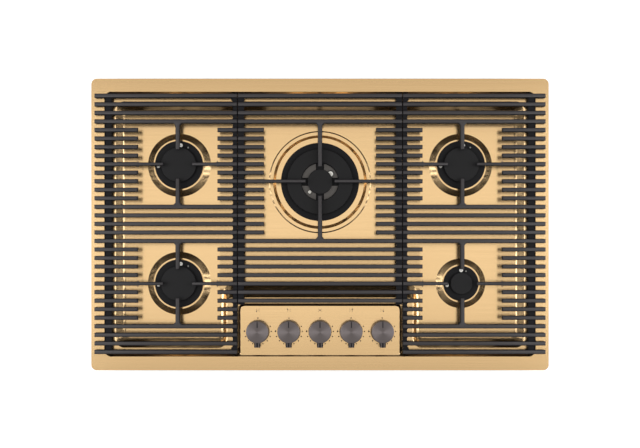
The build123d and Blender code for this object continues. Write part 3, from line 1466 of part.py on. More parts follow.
with BuildPart() as inlet_elbow:
    thread_top = NOTCH_Z - INLET_LOCK
    post(INLET_X, INLET_Y, INLET_RADIUS, thread_top - INLET_LENGTH, thread_top)
    post(INLET_X, INLET_Y, INLET_NECK, thread_top, NOTCH_Z + PAN_SHEET)
    post(INLET_X, INLET_Y, ELBOW_FLANGE, NOTCH_Z + PAN_SHEET, NOTCH_Z + PAN_SHEET + ELBOW_FLANGE_THICKNESS)
    post(INLET_X, INLET_Y, ELBOW_BODY, NOTCH_Z + PAN_SHEET, ELBOW_Z + ELBOW_BODY)
    rod((INLET_X, INLET_Y, ELBOW_Z), (INLET_X, INLET_Y - ELBOW_SOCKET, ELBOW_Z), ELBOW_RADIUS)
    inlet_end = thread_top - INLET_LENGTH
    post(INLET_X, INLET_Y, INLET_BORE, inlet_end, ELBOW_Z + ELBOW_TURN, mode=Mode.SUBTRACT)
    rod(
        (INLET_X, INLET_Y + ELBOW_TURN, ELBOW_Z),
        (INLET_X, INLET_Y - ELBOW_SOCKET, ELBOW_Z),
        ELBOW_BORE,
        Mode.SUBTRACT,
    )
    rod(
        (INLET_X, INLET_Y - ELBOW_SOCKET_END + FIT_GAP, ELBOW_Z),
        (INLET_X, INLET_Y - ELBOW_SOCKET, ELBOW_Z),
        MANIFOLD_RADIUS + FIT_GAP,
        Mode.SUBTRACT,
    )
save(inlet_elbow, "inlet_elbow")


def tube_route(tap_x, drop_x, burner, shift, middle):
    """From a tap's outlet over the manifold, down, past the points in the middle, to the burner."""
    out_y = KNOB_Y + TAP_SIZE / 2 - OUTLET_DEPTH + FIT_GAP
    side_x, side_y = around(0, 0, shift, burner.tube_angle + 90)
    reach = burner.cup + SOCKET_PROUD
    end = around(burner.x + side_x, burner.y + side_y, reach - TUBE_SOCKET + FIT_GAP, burner.tube_angle)
    lead = around(burner.x + side_x, burner.y + side_y, reach + TUBE_LEAD, burner.tube_angle)
    return (
        (tap_x, out_y, TUBE_TOP_Z),
        (tap_x, MANIFOLD_Y + TUBE_OVER, TUBE_TOP_Z),
        (drop_x, MANIFOLD_Y + TUBE_DOWN, INJECTOR_Z),
        *[(x, y, INJECTOR_Z) for x, y in middle],
        (*lead, INJECTOR_Z),
        (*end, INJECTOR_Z),
    )


with BuildPart() as gas_tubes:
    back_left, front_left, back_right, front_right = BURNERS
    routes = (
        tube_route(-2 * KNOB_PITCH, -2 * KNOB_PITCH, front_left, 0, ()),
        tube_route(-KNOB_PITCH, -KNOB_PITCH, back_left, 0, ((-TUBE_ROUND_X, TUBE_ROUND_Y),)),
        tube_route(-WOK_OUTLET, -WOK_TUBE_SHIFT, WOK, -WOK_TUBE_SHIFT, ()),
        tube_route(WOK_OUTLET, WOK_TUBE_SHIFT, WOK, WOK_TUBE_SHIFT, ()),
        tube_route(KNOB_PITCH, KNOB_PITCH, back_right, 0, ((TUBE_ROUND_X, TUBE_ROUND_Y),)),
        tube_route(2 * KNOB_PITCH, 2 * KNOB_PITCH, front_right, 0, ()),
    )
    for route in routes:
        tube(route, TUBE_RADIUS, TUBE_BORE, TUBE_BEND)
save(gas_tubes, "gas_tubes")

# --- Electrics: spark module, terminal block and the gland for the mains lead ---

with BuildPart() as ignition_module:
    with BuildSketch(Plane.XY.offset(PAN_SHEET)):
        with Locations((MODULE_X, MODULE_Y)):
            RectangleRounded(MODULE_WIDTH, MODULE_LENGTH, MODULE_CORNER)
    extrude(amount=MODULE_HEIGHT)
    for row in range(len(KNOBS)):
        y = MODULE_Y + (row - (len(KNOBS) - 1) / 2) * MODULE_PIN_PITCH
        pin_top = PAN_SHEET + MODULE_HEIGHT + MODULE_PIN_TALL
        post(MODULE_X + MODULE_PIN_SHIFT, y, MODULE_PIN, PAN_SHEET, pin_top)
save(ignition_module, "ignition_module")

with BuildPart() as terminal_block:
    block(
        (GLAND_X - TERMINAL_X / 2, TERMINAL_FRONT, PAN_SHEET),
        (GLAND_X + TERMINAL_X / 2, TERMINAL_FRONT + TERMINAL_Y, PAN_SHEET + TERMINAL_Z),
    )
    for column in (-1, 0, 1):
        x = GLAND_X + column * TERMINAL_PITCH
        screw_low = PAN_SHEET + TERMINAL_Z / 2
        post(
            x,
            TERMINAL_FRONT + TERMINAL_Y / 2,
            TERMINAL_SCREW,
            screw_low,
            PAN_SHEET + TERMINAL_Z,
            mode=Mode.SUBTRACT,
        )
save(terminal_block, "terminal_block")

with BuildPart() as cable_gland:
    inside = PAN_BACK - PAN_SHEET
    gland_ends = ((GLAND_X, inside - GLAND_INSIDE, GLAND_Z), (GLAND_X, PAN_BACK + GLAND_OUTSIDE, GLAND_Z))
    rod(*gland_ends, GLAND_RADIUS)
    for face in (PAN_BACK, inside - GLAND_FLANGE_THICKNESS):
        rod((GLAND_X, face, GLAND_Z), (GLAND_X, face + GLAND_FLANGE_THICKNESS, GLAND_Z), GLAND_FLANGE)
    rod(*gland_ends, CORD_RADIUS, Mode.SUBTRACT)
save(cable_gland, "cable_gland")
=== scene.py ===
import json
from math import atan2, cos, hypot, pi, radians, sin

import bmesh
import bpy
from mathutils import Matrix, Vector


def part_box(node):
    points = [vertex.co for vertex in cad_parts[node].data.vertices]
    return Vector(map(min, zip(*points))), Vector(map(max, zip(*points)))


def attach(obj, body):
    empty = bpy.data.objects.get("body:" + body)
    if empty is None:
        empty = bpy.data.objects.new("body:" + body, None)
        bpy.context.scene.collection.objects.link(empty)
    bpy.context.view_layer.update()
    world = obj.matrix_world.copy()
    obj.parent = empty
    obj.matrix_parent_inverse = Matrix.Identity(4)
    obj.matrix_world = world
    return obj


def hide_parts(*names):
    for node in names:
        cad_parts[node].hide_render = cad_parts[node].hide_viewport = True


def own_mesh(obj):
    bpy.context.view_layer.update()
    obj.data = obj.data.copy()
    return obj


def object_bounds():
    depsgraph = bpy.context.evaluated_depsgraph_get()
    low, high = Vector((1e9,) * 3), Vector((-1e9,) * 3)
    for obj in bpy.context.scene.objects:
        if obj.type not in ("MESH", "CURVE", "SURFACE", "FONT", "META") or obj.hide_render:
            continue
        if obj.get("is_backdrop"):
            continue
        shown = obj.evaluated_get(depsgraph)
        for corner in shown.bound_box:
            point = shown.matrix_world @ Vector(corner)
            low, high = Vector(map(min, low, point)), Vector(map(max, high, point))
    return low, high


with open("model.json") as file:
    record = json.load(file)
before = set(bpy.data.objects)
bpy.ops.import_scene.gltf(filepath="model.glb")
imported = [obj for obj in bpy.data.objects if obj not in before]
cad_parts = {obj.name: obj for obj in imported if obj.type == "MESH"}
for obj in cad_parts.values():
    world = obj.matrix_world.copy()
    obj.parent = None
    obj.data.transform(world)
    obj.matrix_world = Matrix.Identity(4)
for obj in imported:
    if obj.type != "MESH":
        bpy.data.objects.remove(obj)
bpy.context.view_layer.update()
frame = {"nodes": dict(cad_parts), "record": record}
bpy.ops.object.select_all(action="DESELECT")
nodes = frame["nodes"]

# --- Room ---
# A pale floor, a wide softbox straight overhead, one large soft light past each end of the hob, and a
# camera that looks straight down. The polished slopes mirror the end lights and the dim walls.
MM = 0.001
CAMERA_HEIGHT = 2.364
CAMERA_Y = -0.062
CAMERA_LENS = 65.76
FRAME_SHIFT = 0.05
FLOOR_SIZE = 60.0
FLOOR_DROP = 0.5 * MM
FLOOR_GLOW = 0.55
OVERHEAD = {"place": (0, 0.055, 2.07), "size": (1.9, 1.02), "glow": 0.74}
END_LIGHT = {"place": (1.66, -0.05, 1.6), "size": (1.7, 1.3), "glow": 3.2}
ROOM_GLOW = (
    (0.0, (0.30, 0.30, 0.30)),
    (0.30, (0.30, 0.30, 0.30)),
    (0.45, (0.18, 0.18, 0.18)),
    (0.65, (0.18, 0.18, 0.18)),
    (0.80, (0.40, 0.40, 0.40)),
    (1.0, (0.44, 0.41, 0.35)),
)


def linear(code):
    """A colour written as sRGB hex, as the linear RGBA that shaders take."""
    parts = [int(code[i : i + 2], 16) / 255 for i in (1, 3, 5)]
    return [p / 12.92 if p <= 0.04045 else ((p + 0.055) / 1.055) ** 2.4 for p in parts] + [1.0]


def add_node(tree, kind, inputs=None, **settings):
    """Adds a node with its settings, fills or links its sockets, and returns its first output."""
    node = tree.nodes.new(kind)
    for name, value in settings.items():
        setattr(node, name, value)
    for name, value in (inputs or {}).items():
        if isinstance(value, bpy.types.NodeSocket):
            tree.links.new(value, node.inputs[name])
        else:
            node.inputs[name].default_value = value
    shown = [output for output in node.outputs if output.enabled]
    return shown[0] if shown else None


def start_material(name):
    """An empty material, with the tree to build it in and the object's own coordinates."""
    material = bpy.data.materials.new(name)
    material.use_nodes = True
    tree = material.node_tree
    tree.nodes.clear()
    return material, tree, add_node(tree, "ShaderNodeTexCoord").node.outputs["Object"]


def end_material(tree, inputs):
    """Closes a material with its one shader."""
    shader = add_node(tree, "ShaderNodeBsdfPrincipled", inputs)
    add_node(tree, "ShaderNodeOutputMaterial", {"Surface": shader})


camera = bpy.data.objects.new("camera", bpy.data.cameras.new("camera"))
bpy.context.scene.collection.objects.link(camera)
camera.location = (0, CAMERA_Y, CAMERA_HEIGHT)
camera.data.lens = CAMERA_LENS
camera.data.shift_y = FRAME_SHIFT
bpy.context.scene.camera = camera
bpy.context.scene.view_settings.view_transform = "Standard"

lamps = (("overhead", OVERHEAD, 1), ("end_right", END_LIGHT, 1), ("end_left", END_LIGHT, -1))
for name, box, side in lamps:
    lamp = bpy.data.lights.new(name, "AREA")
    lamp.shape = "RECTANGLE"
    lamp.size, lamp.size_y = box["size"]
    lamp.energy = box["glow"] * pi * lamp.size * lamp.size_y
    light = bpy.data.objects.new(name, lamp)
    bpy.context.scene.collection.objects.link(light)
    x, y, z = box["place"]
    light.location = (side * x, y, z)
    light.rotation_euler = (0, side * atan2(x, z), 0)

# Each row gives a height on the sky, 0 at the horizon and 1 straight up, and how bright it is there:
# the walls are dimmer than the ceiling, and a little brighter low down, where the floor lights them.
world = bpy.data.worlds.new("room")
bpy.context.scene.world = world
world.use_nodes = True
sky = world.node_tree
sky.nodes.clear()
outwards = add_node(sky, "ShaderNodeTexCoord").node.outputs["Generated"]
upwards = add_node(sky, "ShaderNodeSeparateXYZ", {0: outwards}).node.outputs["Z"]
ramp = add_node(sky, "ShaderNodeValToRGB", {"Fac": upwards}).node
stops = ramp.color_ramp.elements
for height, glow in ROOM_GLOW[1:-1]:
    stops.new(height)
for stop, (height, glow) in zip(stops, ROOM_GLOW, strict=True):
    stop.position, stop.color = height, (*glow, 1)
shine = add_node(sky, "ShaderNodeBackground", {"Color": ramp.outputs["Color"], "Strength": 1.0})
add_node(sky, "ShaderNodeOutputWorld", {"Surface": shine})

bpy.ops.mesh.primitive_plane_add(size=FLOOR_SIZE, location=(0, 0, -FLOOR_DROP))
floor = bpy.context.object
floor.name = "floor"
floor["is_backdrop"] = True

# White backdrop paper. It looks white to the camera and in the metal without lighting the hob more.
paper, tree, place = start_material("white_paper")
ray = add_node(tree, "ShaderNodeLightPath").node.outputs
seen = add_node(
    tree,
    "ShaderNodeMath",
    {0: ray["Is Camera Ray"], 1: ray["Is Glossy Ray"]},
    operation="MAXIMUM",
)
seen = add_node(tree, "ShaderNodeMath", {0: seen, 1: ray["Is Transmission Ray"]}, operation="MAXIMUM")
glow = add_node(tree, "ShaderNodeMath", {0: seen, 1: FLOOR_GLOW}, operation="MULTIPLY")
end_material(
    tree,
    {
        "Base Color": linear("#F2F2F2"),
        "Roughness": 0.9,
        "Specular IOR Level": 0.0,
        "Emission Color": linear("#FFFFFF"),
        "Emission Strength": glow,
    },
)
floor.data.materials.append(paper)
bpy.ops.object.select_all(action="DESELECT")

# --- Base pan, worktop clamps and gas rail brackets ---
# The box that closes the hob from below, folded and spot-welded from galvanised sheet, and the small
# parts cut from the same sheet. Hot-dip galvanised steel is a cool grey, with crystals of zinc about
# 9 mm across that differ a little in sheen.
SPANGLE = 9 * MM


def finish_nodes(material, slot):
    """Gives a finish to every CAD node whose record row has that slot."""
    for row in frame["record"]["subparts"]:
        if row["material_slot"] == slot:
            piece = nodes[row["node"]]
            piece.data.materials.clear()
            piece.data.materials.append(material)


zinc, tree, place = start_material("galvanised_steel")
crystal = add_node(
    tree,
    "ShaderNodeTexVoronoi",
    {"Vector": place, "Scale": 1 / SPANGLE, "Randomness": 1.0},
)
cells = crystal.node.outputs["Color"]
shade = add_node(tree, "ShaderNodeMapRange", {"Value": cells, "To Min": 0.32, "To Max": 0.5})
tone = add_node(
    tree,
    "ShaderNodeMix",
    {"Factor": cells, "A": linear("#9DA2A6"), "B": linear("#B4B7BA")},
    data_type="RGBA",
)
relief = add_node(tree, "ShaderNodeBump", {"Height": crystal, "Distance": 0.01 * MM})
end_material(tree, {"Base Color": tone, "Metallic": 1.0, "Roughness": shade, "Normal": relief})
finish_nodes(zinc, "zinc_steel")

# --- Screws, pan nuts, gas rail, tap covers, spindles, electrode pins and flame probes ---
# Steel turned from bar, drawn as tube or pressed from sheet, then plated with nickel against rust.
# The plating is bright and neutral, with a satin grain left by the steel under it.
PLATING_GRAIN = 0.6 * MM
nickel, tree, place = start_material("nickel_plated_steel")
grain = add_node(
    tree,
    "ShaderNodeTexNoise",
    {"Vector": place, "Scale": 1 / PLATING_GRAIN, "Detail": 2.0},
)
rough = add_node(tree, "ShaderNodeMapRange", {"Value": grain, "To Min": 0.22, "To Max": 0.36})
relief = add_node(tree, "ShaderNodeBump", {"Height": grain, "Distance": 0.01 * MM})
end_material(
    tree,
    {
        "Base Color": linear("#B9B8B4"),
        "Metallic": 1.0,
        "Roughness": rough,
        "Normal": relief,
    },
)
finish_nodes(nickel, "plated_steel")

# --- Tap springs ---
# Coils of spring wire, one on top of each tap's plug, which push the spindle back up. Each is made a
# piece of its own from the plain solid.
CONTROLS = ("front_left", "back_left", "wok", "back_right", "front_right")
WELD = 0.01 * MM

coils = bpy.data.objects.new("tap_spring", nodes["tap_springs"].data.copy())
bpy.context.scene.collection.objects.link(coils)
bpy.context.view_layer.objects.active = coils
coils.select_set(True)
bpy.ops.object.mode_set(mode="EDIT")
bpy.ops.mesh.select_all(action="SELECT")
bpy.ops.mesh.remove_doubles(threshold=WELD)
bpy.ops.mesh.separate(type="LOOSE")
bpy.ops.object.mode_set(mode="OBJECT")
bpy.ops.object.shade_smooth()
springs = sorted(bpy.context.selected_objects, key=lambda spring: spring.data.vertices[0].co.x)
bpy.ops.object.select_all(action="DESELECT")
for control, spring in zip(CONTROLS, springs, strict=True):
    spring.name = f"tap_spring_{control}"
    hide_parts("tap_springs")
    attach(spring, "hob")
    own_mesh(spring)

# --- Taps, plugs, safety magnets, jets and inlet elbow ---
# Machined from brass bar and left bare. Each tap stands on the gas rail by a nipple and carries its
# safety magnet, and each jet screws into a burner cup. Bare brass is a clear yellow metal that keeps
# the turning tool's fine marks.
TOOL_MARK = 0.35 * MM
brass, tree, place = start_material("machined_brass")
rings = add_node(tree, "ShaderNodeTexNoise", {"Vector": place, "Scale": 1 / TOOL_MARK, "Detail": 1.0})
rough = add_node(tree, "ShaderNodeMapRange", {"Value": rings, "To Min": 0.2, "To Max": 0.34})
relief = add_node(tree, "ShaderNodeBump", {"Height": rings, "Distance": 0.01 * MM})
end_material(
    tree,
    {
        "Base Color": linear("#D6B56E"),
        "Metallic": 1.0,
        "Roughness": rough,
        "Normal": relief,
    },
)
finish_nodes(brass, "brass")

# --- Ignition switches and spark module ---
# Housings moulded in glass-filled polyester: a switch round each spindle, on its tap's cover, and the
# module on the pan. Cream, with an eggshell sheen over the fine grain of a spark-eroded mould.
MOULD_GRAIN = 0.5 * MM
cream, tree, place = start_material("moulded_polyester")
grain = add_node(tree, "ShaderNodeTexNoise", {"Vector": place, "Scale": 1 / MOULD_GRAIN, "Detail": 2.0})
rough = add_node(tree, "ShaderNodeMapRange", {"Value": grain, "To Min": 0.42, "To Max": 0.56})
relief = add_node(tree, "ShaderNodeBump", {"Height": grain, "Distance": 0.02 * MM})
end_material(tree, {"Base Color": linear("#E4DFD2"), "Roughness": rough, "Normal": relief})
finish_nodes(cream, "light_plastic")

# --- Spindle bushes, terminal block and cable gland ---
# Moulded in black nylon. The bushes are pressed into the panel, and the gland is fixed in the back
# wall of the pan. Nylon looks a little waxy, over the same moulded grain.
nylon, tree, place = start_material("black_nylon")
grain = add_node(tree, "ShaderNodeTexNoise", {"Vector": place, "Scale": 1 / MOULD_GRAIN, "Detail": 2.0})
rough = add_node(tree, "ShaderNodeMapRange", {"Value": grain, "To Min": 0.38, "To Max": 0.5})
relief = add_node(tree, "ShaderNodeBump", {"Height": grain, "Distance": 0.02 * MM})
end_material(tree, {"Base Color": linear("#232325"), "Roughness": rough, "Normal": relief})
finish_nodes(nylon, "dark_plastic")

# --- Rim seal ---
# A strip of self-adhesive foam rubber stuck under the rim, which the clamps press on the worktop.
# Black and quite matt, with open cells a little under a millimetre wide.
FOAM_CELL = 0.8 * MM
foam, tree, place = start_material("foam_rubber")
cell = add_node(tree, "ShaderNodeTexVoronoi", {"Vector": place, "Scale": 1 / FOAM_CELL})
rough = add_node(tree, "ShaderNodeMapRange", {"Value": cell, "To Min": 0.85, "To Max": 1.0})
relief = add_node(tree, "ShaderNodeBump", {"Height": cell, "Distance": 0.2 * MM})
end_material(tree, {"Base Color": linear("#2B2B2C"), "Roughness": rough, "Normal": relief})
finish_nodes(foam, "foam_seal")

# --- Top plate ---
# One pressing of stainless steel, brushed from side to side and then coated with a brass-coloured
# film in vacuum. Its mirror is drawn out across the brush lines, so it is soft from back to front and
# crisp from side to side. The lines are drawn 1.2 mm apart, coarser than the real ones, to show.
BRUSH_LINE = 1.2 * MM
BRUSH_LENGTH = 0.22
CLOUD = 0.14

gold, tree, place = start_material("brushed_gold_steel")
stretch = (1 / BRUSH_LENGTH, 1 / BRUSH_LINE, 1 / BRUSH_LINE)
drawn = add_node(tree, "ShaderNodeMapping", {"Vector": place, "Scale": stretch})
lines = add_node(tree, "ShaderNodeTexNoise", {"Vector": drawn, "Scale": 1.0, "Detail": 3.0})
cloud = add_node(tree, "ShaderNodeTexNoise", {"Vector": place, "Scale": 1 / CLOUD, "Detail": 2.0})
tone = add_node(
    tree,
    "ShaderNodeMix",
    {"Factor": lines, "A": linear("#E3BF8D"), "B": linear("#EFCD9C")},
    data_type="RGBA",
)
rough = add_node(tree, "ShaderNodeMapRange", {"Value": cloud, "To Min": 0.19, "To Max": 0.23})
across = add_node(
    tree,
    "ShaderNodeVectorTransform",
    {"Vector": (0, 1, 0)},
    vector_type="VECTOR",
    convert_from="OBJECT",
    convert_to="WORLD",
)
relief = add_node(tree, "ShaderNodeBump", {"Height": lines, "Distance": 0.004 * MM})
end_material(
    tree,
    {
        "Base Color": tone,
        "Metallic": 1.0,
        "Roughness": rough,
        "Anisotropic": 0.6,
        "Tangent": across,
        "Normal": relief,
    },
)
finish_nodes(gold, "gold_steel")

# --- Burner cups and gas tubes ---
# Cups die-cast in aluminium, screwed under the top plate, and drawn aluminium tubes that feed them.
# Both are left bare: a dull, slightly warm grey with the soft unevenness of a cast skin.
CAST_SKIN = 1.2 * MM
aluminium, tree, place = start_material("cast_aluminium")
skin = add_node(tree, "ShaderNodeTexNoise", {"Vector": place, "Scale": 1 / CAST_SKIN, "Detail": 3.0})
rough = add_node(tree, "ShaderNodeMapRange", {"Value": skin, "To Min": 0.42, "To Max": 0.56})
relief = add_node(tree, "ShaderNodeBump", {"Height": skin, "Distance": 0.03 * MM})
end_material(
    tree,
    {
        "Base Color": linear("#93938F"),
        "Metallic": 1.0,
        "Roughness": rough,
        "Normal": relief,
    },
)
finish_nodes(aluminium, "cast_aluminium")

# --- Electrode ceramics ---
# Sleeves of alumina, pressed, fired and glazed, that carry the spark pins up through the cups.
# White, hard and glossy, with the slight waviness of a thin glaze.
GLAZE_GRAIN = 1.5 * MM
alumina, tree, place = start_material("glazed_alumina")
grain = add_node(tree, "ShaderNodeTexNoise", {"Vector": place, "Scale": 1 / GLAZE_GRAIN, "Detail": 2.0})
rough = add_node(tree, "ShaderNodeMapRange", {"Value": grain, "To Min": 0.18, "To Max": 0.3})
relief = add_node(tree, "ShaderNodeBump", {"Height": grain, "Distance": 0.01 * MM})
end_material(tree, {"Base Color": linear("#F4F2EC"), "Roughness": rough, "Normal": relief})
finish_nodes(alumina, "ceramic")

# --- Burner crowns ---
# Die-cast aluminium with a black heat-proof coating, set loose on the cups. It is dusty and matt over
# a fine cast skin. In the middle burner the four plates inside the ring are left bare and brushed.
COATING_GRAIN = 0.7 * MM
PLATE_LINE = 0.5 * MM
PLATE_STROKE = 8 * MM
WOK_PLATE_OUT = 36.6 * MM
WOK_PLATE_TOP = 55.2 * MM
LEVEL_SLACK = 0.1 * MM
FACING_UP = 0.9
low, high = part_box("crown_wok")
wok_x, wok_y = (low[0] + high[0]) / 2, (low[1] + high[1]) / 2

black_coat, tree, place = start_material("black_coated_aluminium")
grain = add_node(
    tree,
    "ShaderNodeTexNoise",
    {"Vector": place, "Scale": 1 / COATING_GRAIN, "Detail": 3.0},
)
rough = add_node(tree, "ShaderNodeMapRange", {"Value": grain, "To Min": 0.46, "To Max": 0.62})
tone = add_node(
    tree,
    "ShaderNodeMix",
    {"Factor": grain, "A": linear("#08080B"), "B": linear("#111115")},
    data_type="RGBA",
)
relief = add_node(tree, "ShaderNodeBump", {"Height": grain, "Distance": 0.03 * MM})
end_material(
    tree,
    {
        "Base Color": tone,
        "Roughness": rough,
        "Specular IOR Level": 0.2,
        "Normal": relief,
    },
)
finish_nodes(black_coat, "burner_black")

plate, tree, place = start_material("brushed_burner_plate")
stretch = (1 / PLATE_LINE, 1 / PLATE_STROKE, 1.0)
stroke = add_node(tree, "ShaderNodeMapping", {"Vector": place, "Scale": stretch})
strokes = add_node(tree, "ShaderNodeTexNoise", {"Vector": stroke, "Scale": 1.0, "Detail": 2.0})
rough = add_node(tree, "ShaderNodeMapRange", {"Value": strokes, "To Min": 0.42, "To Max": 0.55})
tone = add_node(
    tree,
    "ShaderNodeMix",
    {"Factor": strokes, "A": linear("#4A4847"), "B": linear("#6A6765")},
    data_type="RGBA",
)
relief = add_node(tree, "ShaderNodeBump", {"Height": strokes, "Distance": 0.01 * MM})
end_material(tree, {"Base Color": tone, "Metallic": 1.0, "Roughness": rough, "Normal": relief})
crown = nodes["crown_wok"]
crown.data.materials.append(plate)
for face in crown.data.polygons:
    inside = hypot(face.center.x - wok_x, face.center.y - wok_y) < WOK_PLATE_OUT
    level = face.normal.z > FACING_UP and abs(face.center.z - WOK_PLATE_TOP) < LEVEL_SLACK
    if inside and level:
        face.material_index = 1

# --- Burner caps ---
# Pressed from thick steel and coated in matt black vitreous enamel, set loose on the crowns. It is
# smoother than their coating, with a soft sheen and the faint ripple that enamel keeps from firing.
ENAMEL_RIPPLE = 2.2 * MM
enamel, tree, place = start_material("matt_black_enamel")
ripple = add_node(
    tree,
    "ShaderNodeTexNoise",
    {"Vector": place, "Scale": 1 / ENAMEL_RIPPLE, "Detail": 2.0},
)
rough = add_node(tree, "ShaderNodeMapRange", {"Value": ripple, "To Min": 0.4, "To Max": 0.5})
tone = add_node(
    tree,
    "ShaderNodeMix",
    {"Factor": ripple, "A": linear("#101012"), "B": linear("#161619")},
    data_type="RGBA",
)
relief = add_node(tree, "ShaderNodeBump", {"Height": ripple, "Distance": 0.02 * MM})
end_material(
    tree,
    {
        "Base Color": tone,
        "Roughness": rough,
        "Specular IOR Level": 0.23,
        "Normal": relief,
    },
)
finish_nodes(enamel, "cap_enamel")

# --- Knobs ---
# Cast zinc, turned on its face and plated in gunmetal grey, pushed on the flats of the spindles. The
# turned rings draw the light out into a bow tie across the face, so the mirror is stretched away
# from each knob's own centre. The pointer groove is near-black, and all but two ribs of the tail
# carry painted shade in the same near-black.
TURNED_LINE = 0.5 * MM
KNOB_PITCH = 61.2 * MM
POINTER_DEPTH = 0.6 * MM
POINTER_SIDE = 1.1 * MM
TAIL_START = 22.0 * MM
RIB_TOP = 3.0 * MM
RIB_FOOT = 3.8 * MM
UNSHADED_RIB = (1.7 * MM, 3.8 * MM)
DEPTH_SLACK = 0.05 * MM
low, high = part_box("spindle_wok")
KNOB_Y = (low[1] + high[1]) / 2

gunmetal, tree, place = start_material("turned_gunmetal")
moved = add_node(tree, "ShaderNodeVectorMath", {0: place, 1: (0, -KNOB_Y, 0)}, operation="ADD")
split = add_node(tree, "ShaderNodeSeparateXYZ", {0: moved}).node.outputs
half = KNOB_PITCH / 2
own_x = add_node(tree, "ShaderNodeMath", {0: split["X"], 1: half, 2: -half}, operation="WRAP")
radial = add_node(tree, "ShaderNodeCombineXYZ", {"X": own_x, "Y": split["Y"]})
radius = add_node(tree, "ShaderNodeVectorMath", {0: radial}, operation="LENGTH").node.outputs["Value"]
rings = add_node(tree, "ShaderNodeCombineXYZ", {"X": radius, "Z": split["Z"]})
turned = add_node(
    tree,
    "ShaderNodeTexNoise",
    {"Vector": rings, "Scale": 1 / TURNED_LINE, "Detail": 2.0},
)
rough = add_node(tree, "ShaderNodeMapRange", {"Value": turned, "To Min": 0.3, "To Max": 0.4})
tone = add_node(
    tree,
    "ShaderNodeMix",
    {"Factor": turned, "A": linear("#686263"), "B": linear("#797273")},
    data_type="RGBA",
)
away = add_node(
    tree,
    "ShaderNodeVectorTransform",
    {"Vector": radial},
    vector_type="VECTOR",
    convert_from="OBJECT",
    convert_to="WORLD",
)
relief = add_node(tree, "ShaderNodeBump", {"Height": turned, "Distance": 0.01 * MM})
end_material(
    tree,
    {
        "Base Color": tone,
        "Metallic": 1.0,
        "Roughness": rough,
        "Anisotropic": 0.7,
        "Tangent": away,
        "Normal": relief,
    },
)
finish_nodes(gunmetal, "gunmetal")

# Near-black for the pointer groove, and painted shade on every rib of the tail but two, which keep the
# gunmetal.
pointer_and_rib_shade, tree, place = start_material("dark_pointer_and_painted_rib_shade")
grain = add_node(tree, "ShaderNodeTexNoise", {"Vector": place, "Scale": 1 / TURNED_LINE, "Detail": 2.0})
rough = add_node(tree, "ShaderNodeMapRange", {"Value": grain, "To Min": 0.5, "To Max": 0.7})
relief = add_node(tree, "ShaderNodeBump", {"Height": grain, "Distance": 0.02 * MM})
end_material(
    tree,
    {
        "Base Color": linear("#17161C"),
        "Roughness": rough,
        "Specular IOR Level": 0.3,
        "Normal": relief,
    },
)
for control in CONTROLS:
    knob = nodes[f"knob_{control}"]
    knob.data.materials.append(pointer_and_rib_shade)
    low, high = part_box(f"knob_{control}")
    for face in knob.data.polygons:
        depth = high[2] - face.center.z
        aside = abs(face.center.x - (low[0] + high[0]) / 2)
        in_pointer = aside < POINTER_SIDE and DEPTH_SLACK < depth < POINTER_DEPTH + DEPTH_SLACK
        on_tail = face.center.y < KNOB_Y - TAIL_START
        on_ribs = on_tail and RIB_TOP - DEPTH_SLACK < depth < RIB_FOOT + DEPTH_SLACK
        if in_pointer or (on_ribs and not UNSHADED_RIB[0] < aside < UNSHADED_RIB[1]):
            face.material_index = 1

# --- Grates ---
# Three slatted iron sand castings under matt black enamel. Casting and enamel leave every edge and
# inside corner round, so each is remodelled from its plain solid with rounded edges and slot ends.
# Pans have rubbed the flat tops of the bars a little paler and smoother than their sides. Below the
# tops, the sides, rounded edges, rails and slot ends carry painted shade in near-black.
IRON_GRAIN = 0.9 * MM
WORN_TOP_AND_SHADE_FROM = 77.0 * MM
WORN_TOP_AND_SHADE_FULL = 77.9 * MM
SLOT_ROUND = 3.2 * MM
SLOT_SIDES = 24
SINK = 0.2 * MM
EDGE_ROUND = 2.1 * MM
EDGE_STEPS = 3
UPRIGHT = 0.99
SHORTEST_CORNER = 4 * MM
RIGHT_ANGLE = radians(80)
SHARP_ANGLE = radians(40)
SMOOTH_ANGLE = radians(35)
FLAT_ANGLE = radians(1)

iron, tree, place = start_material("enamelled_cast_iron")
grain = add_node(tree, "ShaderNodeTexNoise", {"Vector": place, "Scale": 1 / IRON_GRAIN, "Detail": 3.0})
rough = add_node(tree, "ShaderNodeMapRange", {"Value": grain, "To Min": 0.34, "To Max": 0.46})
tone = add_node(
    tree,
    "ShaderNodeMix",
    {"Factor": grain, "A": linear("#312E30"), "B": linear("#403D3F")},
    data_type="RGBA",
)
height = add_node(tree, "ShaderNodeSeparateXYZ", {0: place}).node.outputs["Z"]
# Painted shade: below the bars' flat tops the iron turns near-black and rough, so the sides, edges and
# rails read as shaded, and only the tops keep the enamel's own tone.
worn_top_and_painted_shade = add_node(
    tree,
    "ShaderNodeMapRange",
    {"Value": height, "From Min": WORN_TOP_AND_SHADE_FROM, "From Max": WORN_TOP_AND_SHADE_FULL},
    interpolation_type="SMOOTHSTEP",
)
tone = add_node(
    tree,
    "ShaderNodeMix",
    {"Factor": worn_top_and_painted_shade, "A": linear("#0A090F"), "B": tone},
    data_type="RGBA",
)
rough = add_node(tree, "ShaderNodeMapRange", {"Value": worn_top_and_painted_shade, "To Min": 0.8, "To Max": rough})
relief = add_node(tree, "ShaderNodeBump", {"Height": grain, "Distance": 0.03 * MM})
end_material(tree, {"Base Color": tone, "Roughness": rough, "IOR": 1.42, "Normal": relief})
finish_nodes(iron, "cast_iron")

